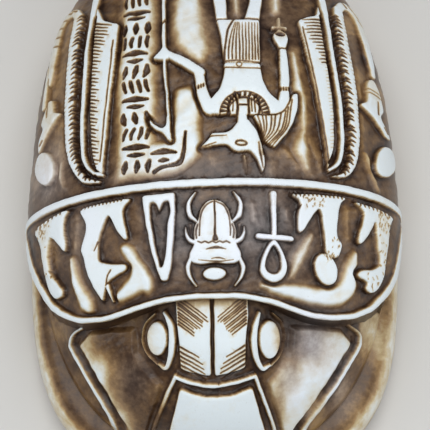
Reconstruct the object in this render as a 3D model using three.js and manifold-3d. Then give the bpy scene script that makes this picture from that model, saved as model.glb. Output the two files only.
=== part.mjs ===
// A scarab amulet: one carved stone, a beetle on a low oval base. The back is cut with a standing
// jackal-headed figure between feathers and palm ribs, the thorax with a band of small figures.
// Lengths are in millimetres. X runs across the back, +Y toward the beetle's tail, +Z up.
// The origin is the centre of the flat underside.
import * as THREE from "three";
import { mergeVertices } from "three/addons/utils/BufferGeometryUtils.js";
import Module from "manifold-3d";

const wasm = await Module();
wasm.setup();

// The oval base under the beetle
const BASE = { halfWidth: 33.5, halfLength: 49.5, top: 8.5, frontPower: 3.6, rearPower: 2.7 };
// How far the back's edge lies inside the edge of the base, at the sides and at the ends
const SETBACK = { side: 0.5, end: 0.5 };
// The domed back: its highest point lies above centreY
const CENTRE_Y = -3;
const BACK = {
  halfWidth: BASE.halfWidth - SETBACK.side,
  rear: BASE.halfLength - SETBACK.end - CENTRE_Y,
  front: BASE.halfLength - SETBACK.end + CENTRE_Y,
  topZ: 38, frontPower: 2.6, rearPower: 2.5, roundness: 2.2,
};
// The thorax swells a little beyond the wing cases at both sides
const THORAX_SWELL = { height: 0.8, y: -9, reach: 12 };
// The undercut between base and back, where the folded legs lie
const WAIST = { height: 2.8, inset: 2.1, legProud: 1.2 };
const EDGE_HEIGHT = 1.7; // upright edge of the back above the undercut
const UNDER_Z = BASE.top + WAIST.height;
const EDGE_Z = UNDER_Z + EDGE_HEIGHT;
// The lower bed in front of the back, which carries the head and the leg plates
const BED_INSET = { side: 1.5, front: 0.5 }; // inside the back's edge
const BED_DROP = 4.5; // top of the bed's dome below the top of the back
const BED = {
  halfWidth: BACK.halfWidth - BED_INSET.side,
  front: BACK.front - BED_INSET.front,
  topZ: BACK.topZ - BED_DROP,
  power: 2.4,
};
// The head swells above that bed
const HEAD_SWELL = { height: 3.2, halfWidth: 10, fadeFrom: -32, fadeTo: -42, least: 0.35 };
const RELIEF = 1.0; // depth of the sunk ground round every figure
const EDGE_SHARE = 0.2; // share of that depth by which the ground's edge draws in
const RIM_RISE = 0.15; // the two thorax rims stand this far above the figures
const GRID = 8; // surface cells from the middle of a dome to its edge
const SUNK_IN = 1.5; // how deep joined bodies reach into one another

// The rims that bound the thorax band
const UPPER_RIM = { y: -7.35, tilt: 0.018, width: 1.45 };
const FRONT_RIM = { middleY: -26.3, lobeY: -28.85, lobeX: 20, width: 0.95 };

// The carving is drawn for a back of this size, and stretched with it
const DRAWN = { halfWidth: 33, length: 98 };
const ACROSS = BACK.halfWidth / DRAWN.halfWidth;
const ALONG = (BACK.rear + BACK.front) / DRAWN.length;
const BEYOND = 2 * BASE.halfLength; // safely outside the object

// Smooth step from 0 at low to 1 at high
function ease(low, high, value) {
  return THREE.MathUtils.smoothstep((value - low) / (high - low), 0, 1);
}

// Distance from the middle of a superellipse to its edge, in the direction of an angle
function reach(angle, halfX, halfY, power) {
  const across = Math.abs(Math.cos(angle) / halfX) ** power;
  const along = Math.abs(Math.sin(angle) / halfY) ** power;
  return (across + along) ** (-1 / power);
}

// Share of the way from the dome's middle to its edge, 1 on the edge; inset shrinks the dome
function backShare(x, y, inset) {
  const { height, y: swellY, reach: swellReach } = THORAX_SWELL;
  const swell = height * Math.exp(-(((y - swellY) / swellReach) ** 2));
  const dy = y - CENTRE_Y;
  const power = dy > 0 ? BACK.rearPower : BACK.frontPower;
  const along = Math.abs(dy) / ((dy > 0 ? BACK.rear : BACK.front) - inset);
  const across = Math.abs(x) / (BACK.halfWidth + swell - inset);
  return Math.min(1, (across ** power + along ** power) ** (1 / power));
}

function backHeight(x, y, depth) {
  const rise = BACK.topZ - depth - EDGE_Z;
  const share = backShare(x, y, depth * EDGE_SHARE);
  return EDGE_Z + rise * Math.sqrt(1 - share ** BACK.roundness);
}

// Distance from the dome's middle to its edge, in the direction of an angle
function backReach(angle, inset) {
  let [inside, outside] = [0, BEYOND];
  for (let halving = 0; halving < 40; halving += 1) {
    const distance = (inside + outside) / 2;
    const x = distance * Math.cos(angle);
    const y = CENTRE_Y + distance * Math.sin(angle);
    if (backShare(x, y, inset) < 1) {
      inside = distance;
    } else {
      outside = distance;
    }
  }
  return inside;
}

function bedHeight(x, y, depth) {
  const inset = depth * EDGE_SHARE;
  const across = (Math.abs(x) / (BED.halfWidth - inset)) ** BED.power;
  const along = (Math.abs(y - CENTRE_Y) / (BED.front - inset)) ** BED.power;
  const share = Math.min(1, (across + along) ** (1 / BED.power));
  const dome = (BED.topZ - depth - BASE.top) * Math.sqrt(1 - share ** 2);
  const { height, halfWidth, fadeFrom, fadeTo, least } = HEAD_SWELL;
  const swell = height * Math.exp(-((Math.abs(x) / halfWidth) ** 4));
  return BASE.top + dome + swell * (least + (1 - least) * ease(fadeTo, fadeFrom, y));
}

// Closed body under a surface: a square grid bent onto the plan outline, walls, and a flat bottom
function bodyUnder({ edge, height, bottom }) {
  const side = 2 * GRID + 1;
  const positions = [];
  for (let row = -GRID; row <= GRID; row += 1) {
    for (let column = -GRID; column <= GRID; column += 1) {
      const ring = Math.max(Math.abs(row), Math.abs(column));
      let angle = 0;
      if (ring > 0 && Math.abs(column) >= Math.abs(row)) {
        angle = (Math.PI / 4) * (row / column) + (column < 0 ? Math.PI : 0);
      } else if (ring > 0) {
        angle = Math.PI / 2 - (Math.PI / 4) * (column / row) + (row < 0 ? Math.PI : 0);
      }
      const distance = edge(angle) * Math.sin((ring / GRID) * (Math.PI / 2));
      const x = distance * Math.cos(angle);
      const y = CENTRE_Y + distance * Math.sin(angle);
      positions.push(x, y, height(x, y));
    }
  }
  const faces = [];
  const index = (row, column) => row * side + column;
  for (let row = 0; row < side - 1; row += 1) {
    for (let column = 0; column < side - 1; column += 1) {
      const corners = [index(row, column), index(row, column + 1),
        index(row + 1, column + 1), index(row + 1, column)];
      const rising = (row < GRID) === (column < GRID);
      const order = rising ? [0, 1, 2, 0, 2, 3] : [0, 1, 3, 1, 2, 3];
      faces.push(...order.map((corner) => corners[corner]));
    }
  }
  const border = [];
  for (let step = 0; step < side - 1; step += 1) border.push(index(0, step));
  for (let step = 0; step < side - 1; step += 1) border.push(index(step, side - 1));
  for (let step = side - 1; step > 0; step -= 1) border.push(index(side - 1, step));
  for (let step = side - 1; step > 0; step -= 1) border.push(index(step, 0));
  const low = positions.length / 3;
  for (const top of border) positions.push(positions[3 * top], positions[3 * top + 1], bottom);
  const middle = positions.length / 3;
  positions.push(0, CENTRE_Y, bottom);
  for (let step = 0; step < border.length; step += 1) {
    const next = (step + 1) % border.length;
    faces.push(border[step], low + step, low + next, border[step], low + next, border[next]);
    faces.push(middle, low + next, low + step);
  }
  return solid(positions, faces);
}

function solid(positions, faces) {
  return new wasm.Manifold(new wasm.Mesh({
    numProp: 3,
    vertProperties: new Float32Array(positions),
    triVerts: new Uint32Array(faces),
  }));
}

// Closed body through a stack of rings of equal count, capped at both ends
function bodyThroughRings(rings) {
  const count = rings[0].length;
  const positions = rings.flat().flatMap((point) => [point.x, point.y, point.z]);
  const faces = [];
  for (let level = 0; level < rings.length - 1; level += 1) {
    for (let step = 0; step < count; step += 1) {
      const next = (step + 1) % count;
      const [a, b] = [level * count + step, level * count + next];
      faces.push(a, b, b + count, a, b + count, a + count);
    }
  }
  const last = (rings.length - 1) * count;
  for (let step = 1; step < count - 1; step += 1) {
    faces.push(0, step + 1, step, last, last + step, last + step + 1);
  }
  return solid(positions, faces);
}

// Upright prism over a drawn outline, from low to above the whole object
function prism(outline, low) {
  const shape = new THREE.Shape(outline);
  const swept = new THREE.ExtrudeGeometry(shape, { depth: BEYOND, bevelEnabled: false });
  swept.translate(0, 0, low);
  swept.scale(ACROSS, ALONG, 1);
  return geometrySolid(swept);
}

function geometrySolid(geometry) {
  geometry.deleteAttribute("normal");
  geometry.deleteAttribute("uv");
  const merged = mergeVertices(geometry, 1e-4);
  return solid(merged.getAttribute("position").array, merged.index.array);
}

function joined(solids) {
  return solids.reduce((whole, next) => whole.add(next));
}

// Outlines of the carving, in plan
const point = ([x, y]) => new THREE.Vector2(x, y);

// A band along a smooth curve; width is one number, or one for each control point
function ribbon(points, width, steps = 2) {
  const curve = new THREE.SplineCurve(points.map(point));
  const count = points.length > 2 ? (points.length - 1) * steps : 1;
  const left = [];
  const right = [];
  for (let step = 0; step <= count; step += 1) {
    const share = step / count;
    const spot = curve.getPoint(share);
    const tangent = curve.getTangent(share);
    const half = widthAt(width, share) / 2;
    left.push(point([spot.x - tangent.y * half, spot.y + tangent.x * half]));
    right.push(point([spot.x + tangent.y * half, spot.y - tangent.x * half]));
  }
  return [...left, ...right.reverse()];
}

function widthAt(width, share) {
  if (!Array.isArray(width)) return width;
  const place = share * (width.length - 1);
  const first = Math.min(Math.floor(place), width.length - 2);
  return THREE.MathUtils.lerp(width[first], width[first + 1], place - first);
}

function oval(x, y, radiusX, radiusY, turn = 0, sides = 12) {
  const curve = new THREE.EllipseCurve(x, y, radiusX, radiusY, 0, 2 * Math.PI, false, turn);
  return curve.getPoints(sides).slice(0, sides);
}

// A closed outline with straight edges
const patch = (points) => points.map(point);

// A plan outline seen in the mirror of the Y axis
const mirrored = (outline) => outline.map((spot) => point([-spot.x, spot.y])).reverse();

function upperRimY(x) {
  return UPPER_RIM.y + UPPER_RIM.tilt * x;
}

// The front rim: two lobes beside a flatter middle, swept back at both sides
function frontRimPoint(share) {
  const { middleY, lobeY, lobeX } = FRONT_RIM;
  const reachX = DRAWN.halfWidth + THORAX_SWELL.height - lobeX;
  const reachY = UPPER_RIM.y - lobeY;
  const bend = 0.6; // share of the half curve that runs in front of the head
  const along = Math.abs(share);
  if (along < bend) {
    const x = (lobeX * along) / bend;
    return [Math.sign(share) * x, middleY + (lobeY - middleY) * ease(3, 18, x)];
  }
  const turn = ((along - bend) / (1 - bend)) * (Math.PI / 2);
  const x = lobeX + reachX * Math.sin(turn);
  return [Math.sign(share) * x, lobeY + reachY * (1 - Math.cos(turn))];
}

function frontRimPoints(count = 11) {
  const points = [];
  for (let step = -count; step <= count; step += 1) points.push(frontRimPoint(step / count));
  return points;
}

// Everything on the tail's side of a line across the object
function lengthwiseHalf(y) {
  return patch([[-BEYOND, y], [BEYOND, y], [BEYOND, BEYOND], [-BEYOND, BEYOND]]);
}

// Everything behind the front rim, as a plan outline
function behindFrontRim() {
  const half = FRONT_RIM.width / 2;
  const front = frontRimPoints().map(([x, y]) => [x, y - half]);
  const [side, rear] = [front[front.length - 1][1], BEYOND];
  return patch([...front, [BEYOND, side], [BEYOND, rear], [-BEYOND, rear], [-BEYOND, side]]);
}

function rims() {
  const ends = [-DRAWN.halfWidth - 2, DRAWN.halfWidth + 2];
  return [
    ribbon(ends.map((x) => [x, upperRimY(x)]), UPPER_RIM.width),
    ribbon(frontRimPoints(), FRONT_RIM.width, 1),
  ];
}

// Carving on the wing cases

// The standing jackal-headed figure; its head points to the thorax
function standingFigure() {
  const raised = [
    // skirt and the two legs
    patch([[2.1, 14.9], [8.5, 14.9], [8.65, 24.1], [3.9, 24.1], [2.8, 20.5]]),
    ribbon([[2.2, 15.6], [1.9, 21], [1.35, 28], [1.2, 37.2]], [0.6, 1.9, 2.2, 1.6]),
    ribbon([[7.1, 24], [8, 28], [8.3, 37.2]], [2.9, 2.3, 1.6]),
    // feet
    patch([[0.3, 36.4], [2.1, 36.4], [2.2, 38.4], [-2.4, 38.4], [-2.2, 37.5]]),
    patch([[7.4, 36.4], [9.2, 36.4], [9.3, 38.4], [4.6, 38.4], [4.8, 37.5]]),
    // trunk, from the belt out to the shoulders
    patch([[2.1, 14.9], [1.9, 11.5], [0.4, 8], [-1, 7.2], [-1.2, 5.2], [1.3, 4.9], [9.9, 4.9],
      [12.2, 5.4], [13.4, 7], [11, 8], [9.3, 10], [8.5, 14.9]]),
    // neck, head with its blunt muzzle, and the tall ear
    ribbon([[5.4, 5.3], [5.5, 3.2]], [1.4, 1.8]),
    patch([[4.5, 3.4], [3.7, 2.2], [2.2, 1.6], [-0.3, 1.6], [-2, -1], [0.8, -0.6], [3, -1.1],
      [4, -1.9], [7, -1.7], [9.1, -1.7], [8.2, 0.6], [8.4, 2.2], [6.4, 4.1]]),
    ribbon([[8.1, -1.2], [8.3, -3.4], [8.4, -5.8]], [1.9, 1.5, 0.3]),
    // headcloth that hangs behind the shoulder
    patch([[8.3, 0.5], [9.3, -1.2], [11.3, -0.5], [13.2, 1.8], [14.6, 5.4], [15.1, 9.4], [14.1, 10.1],
      [13.8, 7.4], [12.6, 5.5], [6.6, 5.2], [7.3, 3.7], [8.8, 2.2]]),
    // near arm: shoulder, elbow, and the hand on the staff
    ribbon([[-0.4, 6.2], [-1.4, 8.6], [-1.9, 11.2], [-2.3, 13.6]], [2.6, 2, 1.7, 1.7]),
    ribbon([[-1.8, 13.1], [-5.4, 15.7], [-8.8, 17.2]], [1.8, 1.8, 2.4]),
    // far arm and hand
    ribbon([[12.4, 6.6], [12.9, 9.6], [12.8, 13.6], [12.4, 17.7]], [2.6, 2.1, 1.9, 1.5]),
    patch([[11.8, 17.9], [13.1, 17.9], [13.5, 20], [12.9, 21.6], [11.2, 21.6], [10.4, 20.6]]),
    ribbon([[12.1, 21.4], [12.1, 25]], [1.2, 0.9]),
    ribbon([[10.9, 22.7], [13.3, 22.6]], 0.9),
  ];
  const sunk = [
    oval(4.75, -0.35, 0.75, 0.4, 0, 8),
    ribbon([[8.15, -1.6], [8.4, -4.2]], [0.5, 0.3]),
    oval(12.1, 21, 0.8, 0.5, 0, 8),
    ribbon([[2.1, 15], [8.6, 14.9]], 0.3),
    ribbon([[2.1, 13.9], [8.6, 13.6]], 0.3),
  ];
  return { raised, sunk };
}

// Broad collar below the neck: an arched band with the ends of the headcloth inside it
function collar() {
  const [x, y, outer, inner] = [5.5, 4.9, 4.35, 3.35];
  const arc = [0, 45, 90, 135, 180].map((degrees) => THREE.MathUtils.degToRad(degrees));
  const radius = (outer + inner) / 2;
  const path = arc.map((angle) => [x + radius * Math.cos(angle), y + radius * Math.sin(angle)]);
  return { raised: [], sunk: [ribbon(path, 0.7, 2)] };
}

// Tall staff held by the figure, its animal head turned to the thorax
function staff() {
  const raised = [
    ribbon([[-7.75, 4], [-7.85, 9], [-8.15, 16], [-8.2, 28], [-8.2, 37.4]], [0.8, 0.65, 0.75, 0.75, 0.8]),
    patch([[-10.7, 5], [-9.6, 4], [-8.6, 4], [-7.6, 4.6], [-7.9, 2.9], [-7, 0.3], [-7.5, 0.2],
      [-9.6, 2.7]]),
    patch([[-8.6, 36.8], [-7.8, 36.8], [-6.9, 39], [-7.8, 39], [-8.2, 38], [-8.6, 39], [-9.5, 39]]),
  ];
  return { raised, sunk: [] };
}

// One tall feather: a stem that bends into the blade's tip, and a blade cut off slantwise
function feather(lean, tip, heel) {
  const leaned = ([x, y]) => [x - lean * Math.max(0, y - 3), y];
  const stem = [[tip, -3.9], [21.5, -2.4], [22.3, 1.5], [22.5, 9], [22, 19], [21.2, 28], [19.8, 36]];
  const groove = [[20.3, -2.6], [21.3, 0.5], [21.6, 9], [21.1, 19], [20.3, 27]];
  const raised = [
    ribbon(stem.map(leaned), [0.7, 0.9, 0.85, 0.8, 0.85, 1.3, 0.8]),
    patch([[tip, -4], [20.6, -2.4], ...groove.slice(1).map(leaned), ...[[19.9, 29.5], [19, 27.2],
      [17.6, 25.8]].map(leaned), heel, [heel[0] + 1.2, 14], [tip - 0.7, 4]]),
  ];
  return { raised, sunk: [ribbon(groove.map(leaned), [0.4, 0.6, 0.6, 0.6, 0.5])] };
}

// A palm rib beside each feather: it curls outward at the rear and ends over the side disc
function palmRib(lean, inner) {
  const leaned = ([x, y]) => [x - lean * Math.max(0, y - 12), y];
  const path = [[inner, -5], [22.9, -4], [24.5, -0.8], [24.9, 6], [24.6, 14], [24, 22], [23.7, 30]];
  const curl = [[23.9, 30], [25.2, 32.4], [27.3, 31.6], [28.6, 27], [29.2, 20], [29.3, 13.4]];
  return {
    raised: [
      ribbon(path.map(leaned), [0.7, 1.5, 1.7, 1.8, 1.6, 1.6, 1.6]),
      ribbon(curl.map(leaned), [1.6, 1.7, 1.7, 1.6, 1.5, 1.5]),
    ],
    sunk: [],
  };
}

// The disc at each side and the hooked head of the bird above it
function sideFigure(discX, discY, rise) {
  const raised = [
    oval(discX, discY, 2, 2.9),
    patch([[26.5, 9.2], [28.4, 7.2], [29.6, 4.6], [31.4, 3.9], [31.9, 5], [30.9, 7.4], [31.1, 10.4],
      [30.6, 13], [29.2, 14.4], [28.3, 12.4], [27.8, 10]].map(([x, y]) => [x, y + rise])),
  ];
  return { raised, sunk: [] };
}

// The strip of writing: a cushion crossed by plain shallow strokes
function writingStrip() {
  const [x, half, front, rear] = [-13.2, 2.8, -4.6, 37];
  const [rows, stroke] = [12, 0.62];
  const cushion = patch([[x - half, front], [x + half, front], [x + half + 0.4, rear - 1],
    [x + half - 0.6, rear], [x - half + 1, rear], [x - half + 0.3, 12]]);
  const strokes = [];
  for (let row = 0; row < rows; row += 1) {
    const y = front + 1.9 + ((rear - front - 3.6) * row) / (rows - 1);
    const slant = row % 3 === 0 ? 0.45 : row % 3 === 1 ? -0.3 : 0.1;
    strokes.push(ribbon([[x - half + 0.9, y - slant], [x + half - 0.9, y + slant]], stroke));
  }
  return { raised: [cushion], sunk: strokes };
}

// Carving on the thorax band

// Ankh with its loop toward the head
function ankh() {
  const [x, top, bar] = [10.25, -8.4, -16.6];
  return {
    raised: [
      ribbon([[x, top], [x, -12], [x, bar]], [1.5, 1.1, 0.95]),
      ribbon([[x - 3.2, bar], [x + 3.15, bar]], 1.25),
      oval(x - 0.3, -20.7, 2.35, 3.3, 0, 16),
    ],
    sunk: [oval(x - 0.35, -20.5, 1.35, 2.4)],
  };
}

// Hollow wedge with a drop hanging from its head bar
function wedge() {
  return {
    raised: [patch([[-12.1, -8.95], [-6.4, -8.8], [-7.1, -18], [-7.7, -23.6], [-8.9, -23.6],
      [-10.4, -19.8], [-11.4, -14.4]])],
    sunk: [patch([[-11, -10.4], [-9.7, -10.4], [-9.2, -12.2], [-8.7, -10.2], [-7.7, -10.2],
      [-7.9, -15], [-8.2, -19.6], [-8.7, -21], [-9.3, -19.8], [-10.5, -14.6]])],
  };
}

// The small beetle in the middle, with a disc between its forelegs
function smallBeetle() {
  const x = 0.2;
  const half = [
    patch([[-0.1, -10.2], [1.3, -10.5], [2.6, -11.7], [3.9, -13], [3.1, -14.2], [2.9, -15.6],
      [3.4, -17.2], [3.7, -18.1], [4.2, -19.4], [3.6, -20.5], [2.6, -21], [-0.1, -21]]),
    ribbon([[4, -19.2], [4.6, -20.8], [4.3, -22.6], [2.9, -24.6]], [0.8, 0.75, 0.6, 0.3]),
    ribbon([[3.6, -17.6], [4.6, -16.7], [4.95, -15.1]], [0.9, 0.6, 0.2], 2),
    ribbon([[3.7, -13.1], [4.4, -12], [4.4, -10.6], [3.2, -9]], [1, 0.8, 0.7, 0.3]),
  ];
  const whole = half.flatMap((outline) => [outline, mirrored(outline)]);
  const raised = whole.map((outline) => outline.map((spot) => point([spot.x + x, spot.y])));
  raised.push(oval(x - 0.3, -22.65, 1.9, 1.05));
  return {
    raised,
    sunk: [
      ribbon([[x, -10.6], [x, -17.2]], [0.5, 0.3]),
      ribbon([[x - 2.5, -17.45], [x + 2.6, -17.45]], 0.35),
    ],
  };
}

// A seated figure with drawn-up knees. Sizes run from the trunk's foot: u toward the knees,
// v toward the head. lean moves the trunk sideways as it rises.
const SEATED = [
  { x: -20.8, y: -9.2, facing: 1, base: [2.7, 7.1], knee: [5.7, 7], trunk: 1.45, lean: 0, head: "jackal" },
  { x: -29.5, y: -9.3, facing: 1, base: [2.2, 4.8], knee: [4, 7.1], trunk: 1.2, lean: 1.3, head: "falcon" },
  { x: 19.9, y: -8.6, facing: -1, base: [3.1, 7.7], knee: [5.4, 6.8], trunk: 1.3, lean: 0, head: "person" },
  { x: 29.3, y: -8.7, facing: -1, base: [2.4, 5.7], knee: [4.2, 7.2], trunk: 1.15, lean: 0.7, head: "baboon" },
];

// Head outlines from the trunk's upper end, one for each kind of figure
const HEADS = {
  jackal: [
    [[1.4, -1], [2.2, 0], [4.8, 0], [5.9, 1.3], [4.2, 1.9], [2.6, 2.8], [2.4, 3.4], [1.9, 6.1],
      [0.9, 4.6], [-1.2, 1.6], [-1.8, -1]],
    [[2.6, 2.7], [3.3, 2.7], [4.2, 6.6], [3.5, 6]],
  ],
  falcon: [[[1.3, -1.2], [1.6, 0.8], [2.4, 1.6], [2.5, 2.5], [1.9, 3.2], [0.9, 3.2], [-0.3, 2.2],
    [-1, 0.6], [-1.3, -1.2]]],
  person: [[[1.1, -0.9], [2.4, 0.4], [3.1, 2.1], [2.9, 3.6], [1.8, 4.5], [0.4, 4.1], [-0.6, 2.6],
    [-1.1, 0.6], [-1.3, -0.9]]],
  baboon: [[[1, -0.9], [2.5, -0.1], [4.4, 1.5], [4.1, 2.2], [2, 2.4], [2.6, 3.5], [0.8, 3.3],
    [-0.6, 1.7], [-1.2, -0.9]]],
};

function seatedFigure({ x, y, facing, base, knee, trunk, lean, head }) {
  const headV = { jackal: 10.6, falcon: 11, person: 10.6, baboon: 11.1 }[head];
  const place = ([u, v]) => [x + facing * (u + (lean * v) / headV), y - v];
  const [kneeU, kneeV] = knee;
  const outlines = [
    [[-base[0], 0], [base[1], 0], [base[1] - 1.1, 0.8], [-base[0] + 1.1, 0.8]],
    [[-trunk, 0.4], [trunk, 0.4], [trunk, headV - 0.6], [-trunk, headV - 0.6], [-trunk - 0.4, 7.4],
      [-trunk + 0.1, 6.4]],
    [[0, 0.5], [base[1] - 1.4, 0.5], [base[1] - 1.6, 2.4], [kneeU + 0.6, kneeV - 0.5], [kneeU, kneeV],
      [kneeU - 0.7, kneeV - 0.3], [trunk + 0.6, 3.2]],
    ...HEADS[head].map((outline) => outline.map(([u, v]) => [u, v + headV])),
  ];
  return { raised: outlines.map((outline) => patch(outline.map(place))), sunk: [] };
}

// Carving on the bed: head, eyes, clypeus and leg plates

function headBlock() {
  const middle = -0.35; // the head's middle groove lies slightly off the axis
  const panel = [[0.55, -26.8], [6.1, -26.8], [5.7, -33], [5.8, -36.8], [0.7, -38.1]];
  const plate = [[0, -40.8], [3, -40.5], [6.2, -39.5], [9, -46.6], [9.2, -48], [0, -48.6]];
  const raised = [
    ribbon([[-6.9, -37.7], [-3.6, -38.9], [0, -39.35], [3.6, -38.9], [6.9, -37.7]], 0.8, 2),
    ribbon([[-6.9, -37.7], [-10.4, -45], [-11.6, -48.6]], 1, 2),
    ribbon([[6.9, -37.7], [10.1, -45], [11.2, -48.6]], 1, 2),
    patch([...plate, ...plate.slice(1, -1).reverse().map(([x, y]) => [-x, y])]),
  ];
  for (const sign of [-1, 1]) {
    raised.push(patch(panel.map(([x, y]) => [middle + sign * x, y])));
  }
  return { raised, sunk: [] };
}

function eyes() {
  const raised = [];
  for (const sign of [-1, 1]) {
    raised.push(oval(sign * 9.85, -32.2, 1.4, 2.75, sign * 0.22));
    raised.push(ribbon([[8.3, -28.2], [7.3, -30.6], [7, -33.4], [7.6, -36], [8.6, -36.7], [11, -34.8]]
      .map(([x, y]) => [sign * x, y]), [0.7, 1, 1.1, 1.1, 1, 0.4], 2));
  }
  return { raised, sunk: [] };
}

function legPlates() {
  const raised = [];
  const edge = [[24, -27.9], [25.5, -29.2], [24.6, -31.8], [21.2, -37.4], [17.6, -42.6], [15.2, -45.6],
    [13.4, -48.2]];
  const field = [[23.9, -30.2], [20.3, -36.3], [16, -42.2], [12.6, -46.8], [11.9, -44.5], [9.6, -38.8],
    [11.4, -36.4], [13, -33], [13.4, -29.4], [21, -29.2]];
  for (const sign of [-1, 1]) {
    const side = ([x, y]) => [sign * x, y];
    raised.push(ribbon(edge.map(side), [0.9, 1.1, 1, 1, 1, 1, 1], 1));
    raised.push(patch(field.map(side)));
  }
  return { raised, sunk: [] };
}

// Folded legs along each side wall: plain slanting bars between base and back
function sideLegs() {
  const [foot, knee] = [BASE.top + 0.1, UNDER_Z + 0.3];
  const bars = [[33, 14], [15, 0], [3, -14]]; // from knee to foot along Y
  const solids = [];
  for (const [kneeY, footY] of bars) {
    const bend = [THREE.MathUtils.lerp(kneeY, footY, 0.5), THREE.MathUtils.lerp(knee, foot, 0.35)];
    const outline = ribbon([[kneeY, knee], bend, [footY, foot]], [1.2, 2, 1.6]);
    const swept = new THREE.ExtrudeGeometry(new THREE.Shape(outline), {
      depth: 2 * BEYOND, bevelEnabled: false,
    });
    swept.translate(0, 0, -BEYOND);
    swept.applyMatrix4(new THREE.Matrix4().set(0, 0, 1, 0, ALONG, 0, 0, 0, 0, 1, 0, 0, 0, 0, 0, 1));
    solids.push(geometrySolid(swept));
  }
  return joined(solids).intersect(waistWall(WAIST.inset - WAIST.legProud));
}

// Straight-walled body with the back's outline, moved inward by inset, from base into back
function waistWall(inset, count = 32) {
  const ring = (z) => Array.from({ length: count }, (_, step) => {
    const angle = (2 * Math.PI * step) / count;
    const distance = backReach(angle, inset);
    return new THREE.Vector3(distance * Math.cos(angle),
      CENTRE_Y + distance * Math.sin(angle), z);
  });
  return bodyThroughRings([ring(BASE.top - SUNK_IN), ring(EDGE_Z)]);
}

// Base: flat underside, rounded edge
function base(count = 44) {
  const { top } = BASE;
  const profile = [[1.1, 0], [0.15, 0.14 * top], [0, 0.52 * top], [0.45, 0.8 * top],
    [1.6, 0.94 * top], [3.4, top]];
  const rings = profile.map(([inset, z]) => Array.from({ length: count }, (_, step) => {
    const angle = (2 * Math.PI * step) / count;
    const power = Math.sin(angle) > 0 ? BASE.rearPower : BASE.frontPower;
    const distance = reach(angle, BASE.halfWidth - inset, BASE.halfLength - inset, power);
    return new THREE.Vector3(distance * Math.cos(angle), distance * Math.sin(angle), z);
  }));
  return bodyThroughRings(rings);
}

function backBody(depth) {
  return bodyUnder({
    edge: (angle) => backReach(angle, depth * EDGE_SHARE),
    height: (x, y) => backHeight(x, y, depth),
    bottom: UNDER_Z,
  });
}

function bedBody(depth) {
  const inset = depth * EDGE_SHARE;
  return bodyUnder({
    edge: (angle) => reach(angle, BED.halfWidth - inset, BED.front - inset, BED.power),
    height: (x, y) => bedHeight(x, y, depth),
    bottom: BASE.top - SUNK_IN,
  });
}

// Figures as prisms with their sunk parts taken out, cut off by a surface
function relief(figures, surface, low) {
  const raised = joined(figures.flatMap((figure) => figure.raised).map((part) => prism(part, low)));
  const sunk = figures.flatMap((figure) => figure.sunk).map((part) => prism(part, low));
  const carved = sunk.length > 0 ? raised.subtract(joined(sunk)) : raised;
  return carved.intersect(surface);
}

function mirroredFigure({ raised, sunk }) {
  return { raised: raised.map(mirrored), sunk: sunk.map(mirrored) };
}

function backFigures() {
  return [
    standingFigure(),
    staff(),
    writingStrip(),
    feather(0.042, 19.7, [15.2, 24.9]),
    mirroredFigure(feather(0, 19.1, [16.1, 24.7])),
    palmRib(0.045, 20.4),
    mirroredFigure(palmRib(0, 19.7)),
    sideFigure(30.4, 1.3, 0.9),
    mirroredFigure(sideFigure(29.9, 0.3, 0)),
    ankh(),
    wedge(),
    smallBeetle(),
    ...SEATED.map(seatedFigure),
  ];
}

function scarab() {
  const behind = prism(behindFrontRim(), 0);
  const back = backBody(0);
  const figureFoot = UNDER_Z + 0.5;
  const ground = backBody(RELIEF).intersect(behind);
  const figures = relief([...backFigures(), collar()], back, figureFoot).intersect(behind);
  const rimBands = relief([{ raised: rims(), sunk: [] }], backBody(-RIM_RISE), figureFoot);
  const bed = bedBody(RELIEF).subtract(prism(lengthwiseHalf(-12), 0));
  const face = relief([headBlock(), eyes(), legPlates()], bedBody(0), BASE.top);
  const waist = waistWall(WAIST.inset).intersect(prism(lengthwiseHalf(-27), 0));
  return joined([base(), ground, figures, rimBands, bed, face, waist, sideLegs()]);
}

function meshFrom(body, name, material) {
  const { vertProperties, numProp, triVerts } = body.getMesh();
  const geometry = new THREE.BufferGeometry();
  const positions = new Float32Array(triVerts.length * 3);
  triVerts.forEach((vertex, corner) => {
    for (let axis = 0; axis < 3; axis += 1) {
      positions[3 * corner + axis] = vertProperties[vertex * numProp + axis];
    }
  });
  geometry.setAttribute("position", new THREE.BufferAttribute(positions, 3));
  geometry.computeVertexNormals();
  const mesh = new THREE.Mesh(geometry, material);
  mesh.name = name;
  return mesh;
}

const stone = new THREE.MeshStandardMaterial({ color: 0xcdc4b2, roughness: 0.5, metalness: 0 });
const amulet = new THREE.Group();
amulet.name = "scarab_amulet";
amulet.add(meshFrom(scarab(), "scarab", stone));

export default amulet;
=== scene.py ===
"""A carved scarab amulet, one stone, seen from above and a little from its head end.

Lengths in the carving are in millimetres, as on the solid: X across the back, +Y toward the
tail, +Z up, the origin at the centre of the flat underside.
"""
import math
import bpy
import numpy as np
from mathutils import Matrix, Vector


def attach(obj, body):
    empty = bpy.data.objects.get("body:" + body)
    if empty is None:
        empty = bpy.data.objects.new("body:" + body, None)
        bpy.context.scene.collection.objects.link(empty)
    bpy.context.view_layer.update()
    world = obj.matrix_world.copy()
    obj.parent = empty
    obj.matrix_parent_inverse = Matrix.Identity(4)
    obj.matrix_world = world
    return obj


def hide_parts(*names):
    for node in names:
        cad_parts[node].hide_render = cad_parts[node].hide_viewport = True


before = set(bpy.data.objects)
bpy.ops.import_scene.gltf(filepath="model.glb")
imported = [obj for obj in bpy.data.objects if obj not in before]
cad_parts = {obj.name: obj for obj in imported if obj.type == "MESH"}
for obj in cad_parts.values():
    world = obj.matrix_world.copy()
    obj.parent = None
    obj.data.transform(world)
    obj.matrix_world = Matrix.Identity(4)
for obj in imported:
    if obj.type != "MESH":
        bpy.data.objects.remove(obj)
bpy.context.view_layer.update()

MM = 0.001
SEED = 7

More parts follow.
